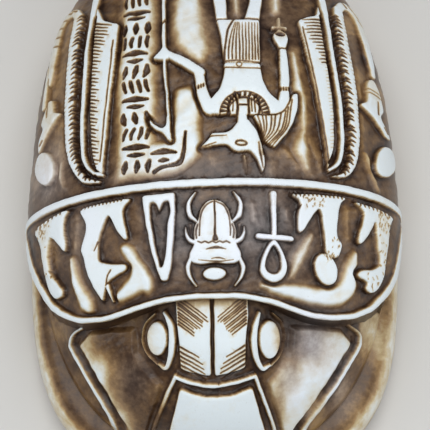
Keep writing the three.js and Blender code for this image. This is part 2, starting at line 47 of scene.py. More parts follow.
# The solid's own sizes
BASE_HALF_WIDTH = 33.5
BASE_HALF_LENGTH = 49.5
BASE_TOP = 8.5
BASE_POWER_FRONT = 3.6
BASE_POWER_REAR = 2.7
CENTRE_Y = -3.0
BACK_HALF_WIDTH = 33.0
BACK_REAR = 52.0
BACK_FRONT = 46.0
BACK_TOP = 38.0
BACK_EDGE_Z = 13.0
BACK_POWER_REAR = 2.5
BACK_POWER_FRONT = 2.6
DOME_POWER = 2.2
THORAX_SWELL = 0.8
THORAX_Y = -9.0
THORAX_REACH = 12.0
BED_HALF_WIDTH = 31.5
BED_FRONT = 45.5
BED_TOP = 33.5
BED_POWER = 2.4
WAIST_INSET = 2.1
WAIST_BOTTOM = 7.6
WAIST_TOP = 12.4
LEG_PROUD = 1.2
RELIEF = 1.0
UPPER_RIM_WIDTH = 1.45
FRONT_RIM_WIDTH = 0.95

# How far a cut edge wavers, and the distance beyond which a figure changes nothing
HAND = 0.07
FAR = 2.2

# How rough the ground is, and how far the figures' edges are worn down
ROUGH_GROUND = 0.13
WORN_EDGE = 0.10

# Tones of the stone, from 0 for dark dirt to 1 for bare stone; painted shade and painted highlights are
# carried in the same tone
TOP_TONE = 0.97
GROUND_TONE = 0.27
CUT_TONE = 0.08

# How finely the surfaces are cut, and how sharp an edge has to be to look hard
BACK_CELLS = 300
BED_COLUMNS = 900
BED_ROWS = 260
BACK_TRIANGLES = 138000
BED_TRIANGLES = 38000
CREASE_DEGREES = 55

# The back's mesh spreads from here on the axis, and these floors close the shells out of sight
BACK_MIDDLE_Y = 6.0
BACK_FLOOR_Z = 9.6
BED_FLOOR_Z = 7.2

# The photograph's width, and its focal length in the same unit
PHOTO_WIDTH = 430
FOCAL_PIXELS = 1967.7


def smooth(low, high, value):
    """Smooth step from 0 at low to 1 at high."""
    share = np.clip((value - low) / (high - low), 0, 1)
    return share * share * (3 - 2 * share)


def mix(first, second, share):
    return first * (1 - share) + second * share


def spline(points, steps, closed=False):
    """Points along a smooth curve through the given ones."""
    given = np.array(points, float)
    if closed:
        padded = np.vstack([given[-1:], given, given[:2]])
    else:
        padded = np.vstack([2 * given[0] - given[1], given, 2 * given[-1] - given[-2]])
    spots = []
    for k in range(1, len(padded) - 2):
        a, b, c, d = padded[k - 1:k + 3]
        for t in np.arange(steps) / steps:
            spots.append(0.5 * (2 * b + (c - a) * t + (2 * a - 5 * b + 4 * c - d) * t ** 2
                                + (3 * b - a - 3 * c + d) * t ** 3))
    if not closed:
        spots.append(given[-1])
    return np.array(spots)


def to_segment(x, y, start, end):
    """Distance to a segment, and how far along it the nearest place lies, 0 to 1."""
    run = end - start
    length = max(run @ run, 1e-9)
    share = np.clip(((x - start[0]) * run[0] + (y - start[1]) * run[1]) / length, 0, 1)
    return np.hypot(x - start[0] - share * run[0], y - start[1] - share * run[1]), share


def from_spot(x, y, middle_x, middle_y, radius_x, radius_y):
    """Squared distance from an oval spot's middle, 1 at its edge."""
    return ((x - middle_x) / radius_x) ** 2 + ((y - middle_y) / radius_y) ** 2


class Shape:
    """A plan outline; distance is negative inside it."""

    def __init__(self, spots, spread):
        self.spots = spots
        self.low = spots.min(0) - spread
        self.high = spots.max(0) + spread


class Band(Shape):
    """A smooth path with round ends; the width is one number or one for each point given."""

    def __init__(self, points, width, steps=6):
        spots = spline(points, steps) if len(points) > 2 else np.array(points, float)
        widths = np.atleast_1d(np.array(width, float))
        share = np.linspace(0, 1, len(spots))
        self.radius = np.interp(share, np.linspace(0, 1, len(widths)), widths) / 2
        super().__init__(spots, self.radius.max())

    def distance(self, x, y):
        found = np.full(x.shape, 1e3)
        for k in range(len(self.spots) - 1):
            gap, share = to_segment(x, y, self.spots[k], self.spots[k + 1])
            found = np.minimum(found, gap - mix(self.radius[k], self.radius[k + 1], share))
        return found


def rounded(points, reach):
    """A closed outline with its corners cut twice, so that they turn softly."""
    spots = np.array(points, float)
    for _ in range(2 if reach else 0):
        ahead = np.roll(spots, -1, 0) - spots
        length = np.linalg.norm(ahead, axis=1, keepdims=True)
        part = np.minimum(0.25, reach / length)
        spots = np.stack([spots + part * ahead, spots + (1 - part) * ahead], 1).reshape(-1, 2)
        reach /= 2
    return spots


class Patch(Shape):
    """A closed outline, smooth, or straight with corners rounded by reach."""

    def __init__(self, points, curved=False, reach=0.3):
        spots = spline(points, 5, closed=True) if curved else rounded(points, reach)
        super().__init__(spots, 0)

    def distance(self, x, y):
        found = np.full(x.shape, 1e3)
        inside = np.zeros(x.shape, bool)
        for start, end in zip(np.roll(self.spots, 1, 0), self.spots):
            found = np.minimum(found, to_segment(x, y, start, end)[0])
            run = end - start
            if abs(run[1]) > 1e-9:
                spans = (start[1] > y) != (end[1] > y)
                inside ^= spans & (x < start[0] + run[0] * (y - start[1]) / run[1])
        return np.where(inside, -found, found)


def oval(x, y, radius_x, radius_y, turn=0, slope=0):
    """An oval, turned, and sheared so that it rises by slope toward the right."""
    angles = np.linspace(0, 2 * math.pi, 28, endpoint=False)
    across = radius_x * np.cos(angles)
    along = radius_y * np.sin(angles)
    return Patch(np.stack([
        x + across * math.cos(turn) - along * math.sin(turn),
        y + across * (math.sin(turn) + slope) + along * math.cos(turn),
    ], 1), reach=0)


def line_round(outline, width):
    """A line round an oval."""
    return Band(np.vstack([outline.spots[::4], outline.spots[:1]]), width)


def moved(points, across=0, flip=1):
    return [(flip * x + across, y) for x, y in points]


def nearest(shapes, x, y, cap):
    """Distance to the nearest of the shapes, never more than cap."""
    found = np.full(x.shape, float(cap))
    for shape in shapes:
        near = ((x > shape.low[0] - cap) & (x < shape.high[0] + cap)
                & (y > shape.low[1] - cap) & (y < shape.high[1] + cap))
        if near.any():
            found[near] = np.minimum(found[near], shape.distance(x[near], y[near]))
    return found


class Carving:
    """What is carved on one surface: figures, holes in them, cushions, cuts, and stains and painted shade.
    """

    def __init__(self):
        self.figures = []
        self.cushions = []
        self.cuts = {}
        self.stains_and_painted_shade = []

    def raise_(self, *shapes):
        """Figures that stand out of the ground."""
        self.figures.append((1, shapes))

    def sink(self, *shapes):
        """Holes in what has been raised so far."""
        self.figures.append((-1, shapes))

    def cushion(self, shape, height, soft):
        """A soft raised place; height is a share of the relief, soft half the width of its edge."""
        self.cushions.append((shape, height, soft))

    def cut(self, depth, dark, *shapes):
        """Cuts of one depth; dark says how much dirt lies in them."""
        self.cuts.setdefault((depth, dark), []).extend(shapes)

    def stain_and_painted_shade(self, *spots):
        """Each spot is its x, y and two radii, the tone it brings, and how strongly; most are stains, some
        are painted shade under the front rim.
        """
        self.stains_and_painted_shade.extend(spots)

    def to_figures(self, x, y):
        """Distance to the edge of what is raised, negative on it."""
        found = np.full(x.shape, FAR)
        for side, shapes in self.figures:
            gap = nearest(shapes, x, y, FAR)
            found = np.minimum(found, gap) if side > 0 else np.maximum(found, -gap)
        return found

    def filled(self, x, y):
        """How far the cushions fill up the ground, 0 to 1."""
        found = np.zeros(x.shape)
        for shape, height, soft in self.cushions:
            gap = nearest([shape], x, y, soft + 0.1)
            found = np.maximum(found, height * smooth(soft, -soft, gap))
        return found

    def evaluate(self, x, y, relief):
        """Height over the surface, and tone of the stone."""
        # the hand that cut it wavered a little
        x, y = x + HAND * uneven(y + 4, 1.2 * x), y + HAND * uneven(1.1 * x + 3, y)
        figure = self.to_figures(x, y)
        pillow = self.filled(x, y) * smooth(0.25, 1.0, figure)
        wobble = uneven(x, y)
        floor = -relief * (1 - pillow) + ROUGH_GROUND * wobble
        height = mix(0, floor, smooth(-0.20, 0.22, figure))
        height -= WORN_EDGE * smooth(-0.55, 0.0, figure)
        # dirt lies thickest at the foot of the figures
        foot = np.exp(-((figure - 0.22) / 0.36) ** 2)
        ground_tone = GROUND_TONE + 0.09 * wobble - 0.22 * foot + 0.70 * pillow
        top_tone = TOP_TONE - 0.08 * smooth(-0.30, 0.0, figure)
        tone = mix(top_tone, ground_tone, smooth(-0.15, 0.06, figure))
        for (depth, dark), shapes in self.cuts.items():
            gap = nearest(shapes, x, y, 0.5)
            height -= depth * smooth(0.10, -0.28, gap)
            tone = mix(tone, CUT_TONE, dark * smooth(0.12, -0.10, gap))
        for *spot, target, strength in self.stains_and_painted_shade:
            tone = mix(tone, target, strength * np.exp(-from_spot(x, y, *spot) ** 1.5))
        return height, tone


def uneven(x, y):
    """Slow irregular waves over the ground, -1 to 1."""
    first = np.sin(0.93 * x + 1.7 * np.sin(0.41 * y + 0.6)) * np.sin(0.77 * y + 1.3 * np.sin(0.53 * x))
    second = np.sin(2.3 * x - 1.1 * y + 2.0 * np.sin(0.9 * y)) * np.sin(1.9 * y + 0.7 * x)
    return 0.65 * first + 0.35 * second


# Carving on the wing cases

def upper_rim_y(x):
    return -7.35 + 0.018 * x + 0.12 * np.cos(x / 33 * math.pi / 2)


def add_standing_figure(back):
    """The jackal-headed figure; its head points to the thorax."""
    back.raise_(
        # kilt, near leg, far leg and feet
        Patch([(2.2, 14.8), (8.5, 14.8), (8.6, 23.8), (1, 23.8), (1.6, 20.9)]),
        Patch([(1, 23.7), (2.9, 23.7), (2.8, 28), (2.1, 37.2), (0.4, 37.2), (0.5, 28)]),
        Patch([(5.9, 23.7), (8.55, 23.7), (9.2, 28), (9.2, 37.2), (7.6, 37.2), (6.9, 28)]),
        Patch([(0.3, 36.4), (2.1, 36.4), (2.2, 38.4), (-2.4, 38.4), (-2.2, 37.5)]),
        Patch([(7.4, 36.4), (9.2, 36.4), (9.3, 38.4), (4.6, 38.4), (4.8, 37.5)]),
        # trunk and shoulders
        Patch([(2.2, 14.9), (2.1, 12.4), (1.4, 9.9), (-0.1, 8.1), (-1.1, 6.8), (-0.9, 5.3), (1.3, 4.9),
               (9.9, 4.9), (12.2, 5.4), (13.2, 6.8), (11.6, 7.8), (9.9, 9.3), (8.9, 11.6), (8.5, 14.9)]),
        # neck and head
        Band([(5.2, 5.6), (5.2, 3.4)], [1.3, 1.9]),
        Patch([(4.6, 4), (3.4, 2.4), (2.3, 1.7), (-0.2, 1.55), (-0.7, 0.4), (-1.7, -0.5), (-2.3, -1.3),
               (0.1, -0.7), (2.5, -0.55), (3.3, -1.3), (3.9, -1.85), (6.4, -1.6), (7.4, -3), (8.4, -5.6),
               (8.9, -4), (8.8, -1.8), (8.3, 0.2), (7.5, 2.4), (6.1, 4.2)]),
        Band([(5.4, -2.6), (5.8, -5.4)], [0.5, 0.2]),
        # headcloth
        Patch([(7, 5), (7.8, 3.3), (8.5, 1.7), (8.8, 0.2), (10.5, -0.9), (12.6, 1.5), (14.1, 4.2),
               (14.8, 6.6), (15, 9.6), (13.9, 9.3), (12.7, 6.4), (10.8, 5.1)]),
        # near arm with the hand on the staff
        Band([(-0.4, 6.2), (-1.4, 8.6), (-1.9, 11.2), (-2.2, 13.2)], [2.5, 2.1, 1.8, 1.8]),
        Band([(-1.9, 13.1), (-5.1, 15.5), (-7.6, 17)], [1.8, 1.8, 1.4]),
        Patch([(-10.2, 16.2), (-9, 15.8), (-7.3, 15.7), (-6.8, 17), (-7.7, 18.2), (-8.2, 19.4), (-8.7, 18)]),
        # far arm, hand and what it carries
        Band([(12.4, 6.8), (12.6, 9.6), (12.7, 13.6), (12.5, 17.7)], [2.3, 1.7, 1.65, 1.3]),
        Patch([(11.9, 18), (13, 18), (13.6, 19.9), (13.3, 21.3), (12.1, 21.9), (11.2, 21.4),
               (10.7, 20.3), (11.3, 19.2)]),
        Band([(12, 21.6), (11.95, 24.3)], [0.8, 0.65]),
        Band([(10.9, 22.3), (13.1, 22.4)], [0.7, 0.55, 0.7]),
    )
    # the second spot browns the thin ear: partly a stain, partly painted shade
    back.stain_and_painted_shade((12.1, 23, 1.5, 2.2, 0.55, 0.8), (5.7, -4.2, 0.8, 2, 0.42, 0.85))
    back.cut(0.3, 0.9, oval(12.1, 20.9, 0.85, 0.45), Band([(11.3, 22), (12.9, 22.1)], 0.25))
    add_dress(back)
    add_headcloth_strands(back)
    add_collar(back)


def add_dress(back):
    """Belt, pleats, eye, mouth, ears, the head's edge against the headcloth, and armlets."""
    back.cut(0.22, 0.85,
             Band([(2.3, 15.05), (5, 15.2), (8.5, 14.95)], 0.26),
             Band([(2.2, 13.9), (5, 13.75), (8.6, 13.8)], 0.22),
             Band([(2.8, 23.75), (5.6, 23.9), (8.5, 23.85)], 0.18),
             Band([(1.2, 23.8), (2.8, 23.75)], 0.2),
             Band([(2.3, 15.2), (2.5, 18.6), (3.1, 21.8), (4, 23.7)], 0.34),
             Band([(7.9, 0), (8.1, -2.2), (8.45, -4.6)], [0.2, 0.4, 0.2]),
             Band([(-0.5, 0.85), (2.4, 1.05)], [0.26, 0.14]),
             Band([(-1.9, -1), (0.6, -0.2)], [0.2, 0.12]),
             Band([(8.65, -2.2), (8.5, 0.3), (7.6, 2.7), (6.4, 4.4)], [0.25, 0.34, 0.34, 0.25]),
             Band([(7.2, 4.95), (10.8, 5.1), (12.6, 6.3), (13.8, 9)], 0.26),
             Band([(11.8, 18), (13.1, 18)], 0.3))
    back.cut(0.2, 0.8, line_round(oval(4.85, 14.45, 0.5, 0.45), 0.18))
    for place, x in enumerate([3.3, 3.85, 4.4, 4.95, 5.5, 6.05, 6.6, 7.15, 7.65, 8.15]):
        bend = max(0.0, 0.9 - 0.3 * place)
        back.cut(0.2, 0.8, Band([(x - bend * 0.3, 15.5), (x - bend * 0.1, 19), (x + bend, 23)],
                                [0.28, 0.24, 0.14]))
    back.cut(0.28, 0.95, line_round(oval(4.9, -0.35, 0.95, 0.42, -0.06), 0.3))
    for x, y, lean in ((-2.7, 9.7, 0.5), (11.9, 9.8, 0.1)):
        for k in range(4):
            low = y + lean * k / 3
            back.cut(0.3, 0.9, Band([(x + 0.45 * k, low), (x + 0.45 * k, low + 0.5)], 0.3))


def add_headcloth_strands(back):
    """Strands that run from the shoulder round to the end beside the ear."""
    starts = spline([(7.5, 4.8), (9.2, 4.8), (11.2, 5.1), (12.9, 6.3), (14.2, 9.2)], 6)
    ends = spline([(8.6, 1.3), (8.95, 0.1), (10.3, -0.8)], 12)
    for share in np.linspace(0.06, 0.94, 9):
        start = starts[int(share * (len(starts) - 1))]
        end = ends[int(share * (len(ends) - 1))]
        middle = (start + end) / 2 + share * np.array([0.9, -0.9])
        back.cut(0.2, 0.8, Band([start, middle, end], [0.26, 0.24, 0.16]))


def add_collar(back):
    """Arched collar with beads, and the ends of the headcloth on it."""
    x, y = 5.6, 5.0

    def on_arc(degrees, radius):
        angle = math.radians(degrees)
        return (x + radius * math.cos(angle), y + radius * math.sin(angle))

    for radius, width in ((3.0, 0.3), (4.25, 0.22)):
        back.cut(0.22, 0.85, Band([on_arc(degrees, radius) for degrees in range(0, 181, 20)], width, 2))
    for degrees in range(6, 180, 11):
        if 66 < degrees < 104:
            continue
        back.cut(0.3, 0.95, Band([on_arc(degrees, 3.3), on_arc(degrees, 4.05)], [0.35, 0.6]))
    for offset in (-1.2, -0.4, 0.4, 1.2):
        back.cut(0.3, 0.95, Band([(5.3 + offset, 8.5), (5.3 + offset * 1.1, 9)], 0.42))
    back.cut(0.35, 0.9,
             Band([(2.95, 5.1), (2.75, 6.2), (3.1, 7.5), (3.9, 8.5)], 0.42),
             Band([(3.9, 8.5), (4.35, 7.4), (4.4, 6.2), (4.3, 5.1)], 0.42),
             Band([(6.3, 5.1), (6.25, 6.6), (6.3, 8.3)], 0.42),
             Band([(7, 8.6), (7.8, 8), (8.2, 6.5), (8, 5.1)], 0.42),
             Band([(4.5, 6.7), (6.05, 6.7)], 0.34),
             Band([(4.6, 8.15), (5.9, 8.15)], 0.3),
             Band([(6.8, 5.5), (6.75, 8)], 0.2),
             Band([(7.35, 5.4), (7.3, 7.8)], 0.2),
             Band([(3.5, 5.5), (3.65, 7.4)], 0.18))


def add_staff(back):
    back.raise_(
        Band([(-7.5, 5), (-7.65, 9), (-7.95, 12), (-8.1, 16)], [0.55, 0.55, 0.6, 0.65]),
        Band([(-8.1, 16), (-8.2, 22), (-8.2, 28), (-8.2, 37.4)], 0.72),
        Patch([(-10.9, 5), (-9.7, 3.5), (-8.6, 2.85), (-7.95, 3.3), (-7.85, 5.2), (-7.2, 5.4), (-7.1, 2.7),
               (-6.9, 0.3), (-7.5, 0.4), (-8.4, 2), (-9.7, 2.5), (-10.7, 3.8)]),
        Patch([(-8.6, 36.8), (-7.8, 36.8), (-6.9, 39), (-7.8, 39), (-8.2, 38), (-8.6, 39), (-9.5, 39)]),
    )
    back.cut(0.3, 0.85, Band([(-8.7, 23), (-8.3, 23.5), (-7.8, 24.1)], [0.3, 0.5, 0.3]))


def add_feather(back, stem, swelling, groove, groove_widths, inner):
    """A blade beside its stem, with a groove between; the stem swells where the blade ends."""
    back.raise_(Band(stem, [0.6, 0.75, 0.8, 0.85, 0.85, 0.85, swelling, 1.4, 0.8]), Patch(groove + inner))
    back.sink(Band(groove, groove_widths))
    back.cut(0.2, 0.9, Band(groove, 0.5))


def add_left_feather(back):
    stem = [(-20.2, -4), (-21.9, -1.8), (-22.5, 1.5), (-22.6, 6.8), (-22.3, 13), (-22, 19.5), (-21.2, 26.3),
            (-20.6, 31.3), (-19.8, 36)]
    groove = [(-20.3, -2.9), (-21.2, 0), (-21.6, 7), (-21.4, 15), (-21.1, 22), (-20.5, 27.2)]
    inner = [(-20.2, 29.5), (-19.1, 26.2), (-17.6, 25.1), (-16.1, 24.5), (-16.7, 18), (-17.6, 9.7),
             (-18.5, 0), (-18.9, -4.4)]
    add_feather(back, stem, 1.0, groove, [0.5, 0.8, 0.8, 0.8, 0.7, 0.5], inner)
    back.raise_(Band([(-20.6, -3.6), (-19.6, -4.1), (-18.9, -4.4)], [0.5, 0.8, 0.5]))
    back.cut(0.2, 0.85, Band([(-17.1, 21), (-17.8, 13), (-18.6, 5), (-19.2, -2)], 0.24))
    for step in range(40):
        y = -1.8 + 0.7 * step
        start = np.interp(y, [-3, 7, 15, 22, 27], [-20.9, -21.3, -21.1, -20.8, -20.2])
        length = 1.35 + 0.35 * math.sin(2.3 * step) + 1.3 * smooth(17, 26, y)
        back.cut(0.2, 0.95, Band([(start, y), (start + length, y - 0.4 * length)], [0.46, 0.14]))


def add_right_feather(back):
    stem = [(20, -3.9), (21.7, -2.2), (22.4, 0.8), (22.5, 5.6), (22.2, 10.9), (21.5, 17.2), (20.8, 24.4),
            (20.1, 30.2), (19, 36)]
    groove = [(20.1, -2.6), (21.2, -0.5), (21.5, 3), (21.5, 8), (21, 14), (20.3, 20), (19.6, 26.4)]
    inner = [(19.3, 29), (18.7, 26.3), (17.1, 25.6), (15.4, 24.5), (16.2, 20.5), (17.5, 13.5),
             (18.6, 6.4), (19.4, -0.4), (19.8, -4)]
    add_feather(back, stem, 0.9, groove, [0.5, 0.8, 0.85, 0.85, 0.85, 0.7, 0.5], inner)
    back.cut(0.2, 0.85, Band([(16.1, 23), (17.2, 17), (18.4, 9.5), (19.5, 1), (19.9, -2.6)], 0.24))
    for step in range(14):
        y = 16.5 + 0.68 * step
        start = np.interp(y, [15, 20, 26.5], [20.7, 20.1, 19.2])
        length = 1.3 + 1.7 * smooth(17, 24, y) + 0.3 * math.sin(2.1 * step)
        back.cut(0.2, 0.95, Band([(start, y), (start - length, y - 0.22 * length)], [0.44, 0.14]))
    for step in range(24):
        y = 0.4 + 0.66 * step
        start = np.interp(y, [0, 8, 15], [21, 21.1, 20.6])
        back.cut(0.1, 0.35, Band([(start, y), (start - 0.8, y - 0.25)], [0.26, 0.12]))


def add_palm_ribs(back):
    """A notched rib beside each feather, which curls outward at the rear."""
    left = [(-19.6, -5.5), (-22.2, -4.5), (-23.9, -1.7), (-24.7, 1.4), (-25, 5.5), (-25.1, 9.7),
            (-25, 13.9), (-24.8, 18.3), (-24.5, 22.9), (-24, 27.5), (-23.9, 29.4)]
    right = [(20.6, -5), (22.6, -4.3), (23.7, -3), (24.5, -0.3), (24.9, 3.8), (24.8, 8.8), (24.5, 13.7),
             (23.9, 18.9), (23.3, 25.3), (23, 29.4)]
    curl = [1.7, 1.8, 1.8, 1.7, 1.6, 1.4, 0.9]
    back.raise_(
        Band(left, [0.5, 1.2, 1.4, 1.6, 1.75, 1.8, 1.85, 1.9, 1.9, 1.9, 1.7]),
        Band(right, [0.3, 0.9, 1.2, 1.7, 1.8, 1.9, 2.1, 2.1, 1.9, 1.7]),
        Band([(-23.9, 29.2), (-24.7, 30.6), (-26.3, 30.8), (-27.6, 28.8), (-28.3, 25), (-28.8, 21),
              (-29.2, 16.8)], curl),
        Band([(23, 29.2), (24, 30.8), (25.6, 31), (27.1, 29), (28, 25.4), (28.7, 21.4), (29.2, 17.4)], curl),
        Band([(-29.6, 21), (-29.9, 16), (-30.2, 12.4)], [0.3, 0.8, 0.9]),
    )
    back.stain_and_painted_shade((-26.4, 29.5, 3.2, 5, 0.66, 0.55), (27, 28.5, 3, 5.5, 0.74, 0.45))
    chance = np.random.default_rng(SEED + 1)
    for path, inward in ((left, 1), (right, -1)):
        spots = spline(path, 14)
        gone = 0.0
        for k in range(1, len(spots) - 6):
            step = spots[k] - spots[k - 1]
            gone += np.linalg.norm(step)
            if gone < 0.72:
                continue
            gone = 0.0
            along = step / np.linalg.norm(step)
            aside = np.array([along[1], -along[0]]) * inward
            near = spots[k] + aside * chance.uniform(-0.1, 0.35) - along * chance.uniform(0, 0.35)
            far = near + aside * chance.uniform(0.7, 1.0) + along * chance.uniform(0.3, 0.6)
            back.cut(0.34, 0.97, Band([near, far], [0.2, chance.uniform(0.45, 0.8)]))
            outer = spots[k] - aside * chance.uniform(0.7, 1.1)
            back.cut(0.2, 0.3, Band([outer, outer + aside * 0.4 + along * 0.2], [0.3, 0.12]))
    for x, y in ((-24.5, 31), (-25.5, 31.2), (-26.6, 30.4), (-27.3, 29), (-27.9, 27), (-28.2, 25),
                 (24.2, 31.2), (25.3, 31.4), (26.4, 30.4), (27.2, 29)):
        back.cut(0.25, 0.75, Band([(x - 0.5, y + 0.3), (x + 0.4, y - 0.5)], [0.2, 0.4]))


def add_side_figures(back):
    """The disc at each side and the hooked head of the bird above it."""
    back.raise_(
        oval(-29.8, 0.2, 1.95, 3.2, slope=-0.6),
        oval(30.8, 1.1, 2.2, 3.0, slope=0.8),
        Patch([(-26.7, 9.4), (-27.8, 8.5), (-29.2, 6.7), (-30.4, 4.6), (-31.1, 4), (-31, 6.2), (-30.3, 8),
               (-30.6, 9.4), (-29.8, 11.6), (-29.2, 13), (-28.2, 12.6), (-28, 10.4)], curved=True),
        Patch([(26.3, 10.1), (27.6, 11.5), (27.8, 15.2), (28.9, 16.4), (30, 15), (30.8, 11.5), (30.2, 9.4),
               (31.2, 7.8), (31.9, 6.4), (31, 6), (29.8, 7.2), (28.3, 8.8)], curved=True),
    )
    back.stain_and_painted_shade((-29.8, 0.2, 3, 4.5, 0.8, 0.6), (-28.6, 15, 2.2, 14, 0.66, 0.5),
               (28.8, 14.5, 2.4, 3.4, 0.72, 0.5))
    back.cut(0.25, 0.75,
             Band([(-30.6, 5.2), (-30.2, 5.8)], 0.4),
             Band([(31.2, 7.0), (30.7, 7.7)], 0.4),
             Band([(27.8, 13.3), (30.3, 13.2)], 0.3),
             Band([(27.8, 14), (30.2, 13.9)], 0.26),
             Band([(29.5, 9.6), (29.6, 12.2)], 0.3),
             Band([(-29.3, 10), (-29.3, 18)], 0.3))


def add_writing_strip(back):
    """Rows of plain separate strokes on a cushion, where the stone has writing."""
    chance = np.random.default_rng(SEED)
    back.cushion(Patch([(-16.2, -5.4), (-10.4, -5.4), (-10.0, 10), (-10.1, 29), (-10.4, 37), (-14.6, 37.5),
                        (-15.4, 28), (-16.1, 12)]), 0.97, 1.4)
    strokes = []
    y = -3.8
    for row in range(14):
        left = -15.3 + chance.uniform(-0.1, 0.2)
        width = 4.3 + chance.uniform(-0.2, 0.3)
        middle = left + width / 2
        if row % 3 == 1:
            # a long lens over a short one
            rise = chance.uniform(-0.15, 0.25)
            over = [(left, y + 0.55), (middle, y + 0.6 + rise), (left + width, y + 0.5)]
            under = [(left + 0.9, y - 0.75), (middle, y - 0.8), (left + width - 0.8, y - 0.7)]
            strokes += [Band(over, [0.5, 1.25, 0.5]), Band(under, [0.4, 0.95, 0.4])]
        else:
            count = 3 + (row % 3 == 2)
            lean = chance.uniform(-0.3, 0.3)
            for x in left + 0.25 + (width - 0.5) * np.arange(count) / (count - 1):
                tall = chance.uniform(0.85, 1.1)
                bow = chance.uniform(-0.2, 0.2)
                fat = chance.uniform(0.95, 1.25) if count == 3 else chance.uniform(0.65, 0.8)
                upright = [(x - lean, y - tall), (x + bow, y), (x + lean, y + tall)]
                strokes.append(Band(upright, [0.5, fat, 0.65]))
        y += 2.95 + chance.uniform(-0.12, 0.12)
    # the last row turns aside toward the muzzle
    strokes += [
        Band([(-10.3, -1.7), (-8.4, -1.45), (-6.2, -1.75)], [0.5, 1.15, 0.5]),
        Band([(-9.1, -3.05), (-8.4, -3), (-7.5, -3.05)], [0.4, 0.85, 0.4]),
        Band([(-10, -5), (-8.8, -4.3), (-7.6, -4.1), (-5.6, -3.5), (-4.9, -1.6), (-4.55, 1.9)],
             [0.6, 0.75, 0.6, 0.9, 0.65, 0.5]),
    ]
    back.cut(0.45, 0.97, *strokes)


def add_back_cushions(back):
    back.cushion(Patch([(-11, -5.2), (-6.5, -5), (-4.6, -4), (-2.9, -2.6), (-2.1, -0.4), (-2.3, 2.6),
                        (-2, 6), (-3, 9.6), (-5, 10.2), (-6.2, 9), (-6.6, 3.4), (-8, 0.4), (-11, 0)],
                       curved=True), 0.97, 1.0)
    back.cushion(Patch([(-6.2, 28), (-6.4, 21), (-4.9, 18), (-2.6, 15.9), (-1.4, 15.9), (-0.9, 18.4),
                        (-1.6, 23), (-1.8, 29), (-3.4, 31)], curved=True), 0.88, 1.4)
    for path, widths, height, soft in (
            ([(14.4, 17.5), (15, 12), (15.7, 7), (15.9, 2.5)], [0.5, 1.5, 1.3, 0.6], 0.95, 1.0),
            ([(15.8, 3), (15.4, -0.6), (16.2, -4)], [0.5, 2.2, 1.0], 0.92, 1.1),
            ([(15.4, 5), (17.2, 0.6), (18.8, -4)], [0.4, 0.9, 0.4], 0.34, 1.0),
            ([(12.6, -1), (14.6, -3.4), (17, -5)], [0.4, 0.8, 0.4], 0.38, 1.0),
            ([(14.6, 18), (15.5, 9), (15.8, 0), (16.4, -4)], [1.4, 2.0, 2.2, 1.6], 0.40, 1.3),
            ([(11.6, 26.6), (11.4, 30), (11, 34)], [1.0, 1.8, 1.4], 0.95, 0.9),
            ([(4.6, 26), (4.4, 29), (4.2, 32)], [0.6, 1.0, 0.9], 0.85, 0.8),
            ([(-26.6, 20), (-26.9, 9), (-26.6, 2)], [0.3, 0.6, 0.5], 0.2, 1.0),
            ([(26.4, 20), (27, 9), (26.9, 2)], [0.3, 0.7, 0.6], 0.26, 1.0),
            ([(27.2, 1), (28.4, -2.8), (29.4, -5)], [0.4, 1.1, 0.5], 0.62, 0.7),
            ([(-27.2, 0), (-26.9, -2.6), (-26.5, -4.6)], [0.4, 0.8, 0.5], 0.6, 0.7)):
        back.cushion(Band(path, widths), height, soft)


# Carving on the thorax band

def add_ankh(back):
    x, bar = 10.2, -16.6
    back.raise_(
        Band([(x, -9.1), (x, -12), (x - 0.05, bar)], [1.15, 1.0, 0.85]),
        Band([(x - 2.7, bar + 0.15), (x - 1, bar), (x + 1.2, bar), (x + 2.8, bar - 0.15)],
             [0.95, 1.0, 1.0, 0.95], steps=2),
        Patch([(x - 0.15, -17), (x + 1.2, -18.6), (x + 2.1, -21.3), (x + 1.3, -23.3), (x - 0.3, -24.1),
               (x - 1.9, -23.5), (x - 2.6, -21.8), (x - 1.7, -18.9)], curved=True),
    )
    back.sink(Patch([(x - 0.2, -18), (x + 0.7, -19.3), (x + 1.0, -21.2), (x + 0.5, -22.4),
                     (x - 0.3, -22.7), (x - 1.2, -22.4), (x - 1.6, -21.4), (x - 1.1, -19.4)], curved=True))
    back.stain_and_painted_shade((x, -10, 0.9, 2.2, 0.8, 0.5))


def add_wedge(back):
    back.raise_(Patch([(-12.1, -9), (-6.4, -8.8), (-6.5, -14.3), (-7.1, -20.8), (-7.8, -23.7), (-9, -23.7),
                       (-10.4, -19.5), (-11.5, -14)]))
    back.sink(Patch([(-10.8, -10.8), (-10.5, -10.3), (-10, -10.3), (-9.5, -11), (-9.2, -12.2), (-8.8, -11.1),
                     (-8.3, -10.3), (-7.5, -10.3), (-7.3, -12.1), (-7.8, -14), (-8.1, -19), (-8.6, -21.2),
                     (-9, -21.5), (-9.9, -17.8), (-10.6, -13)]))


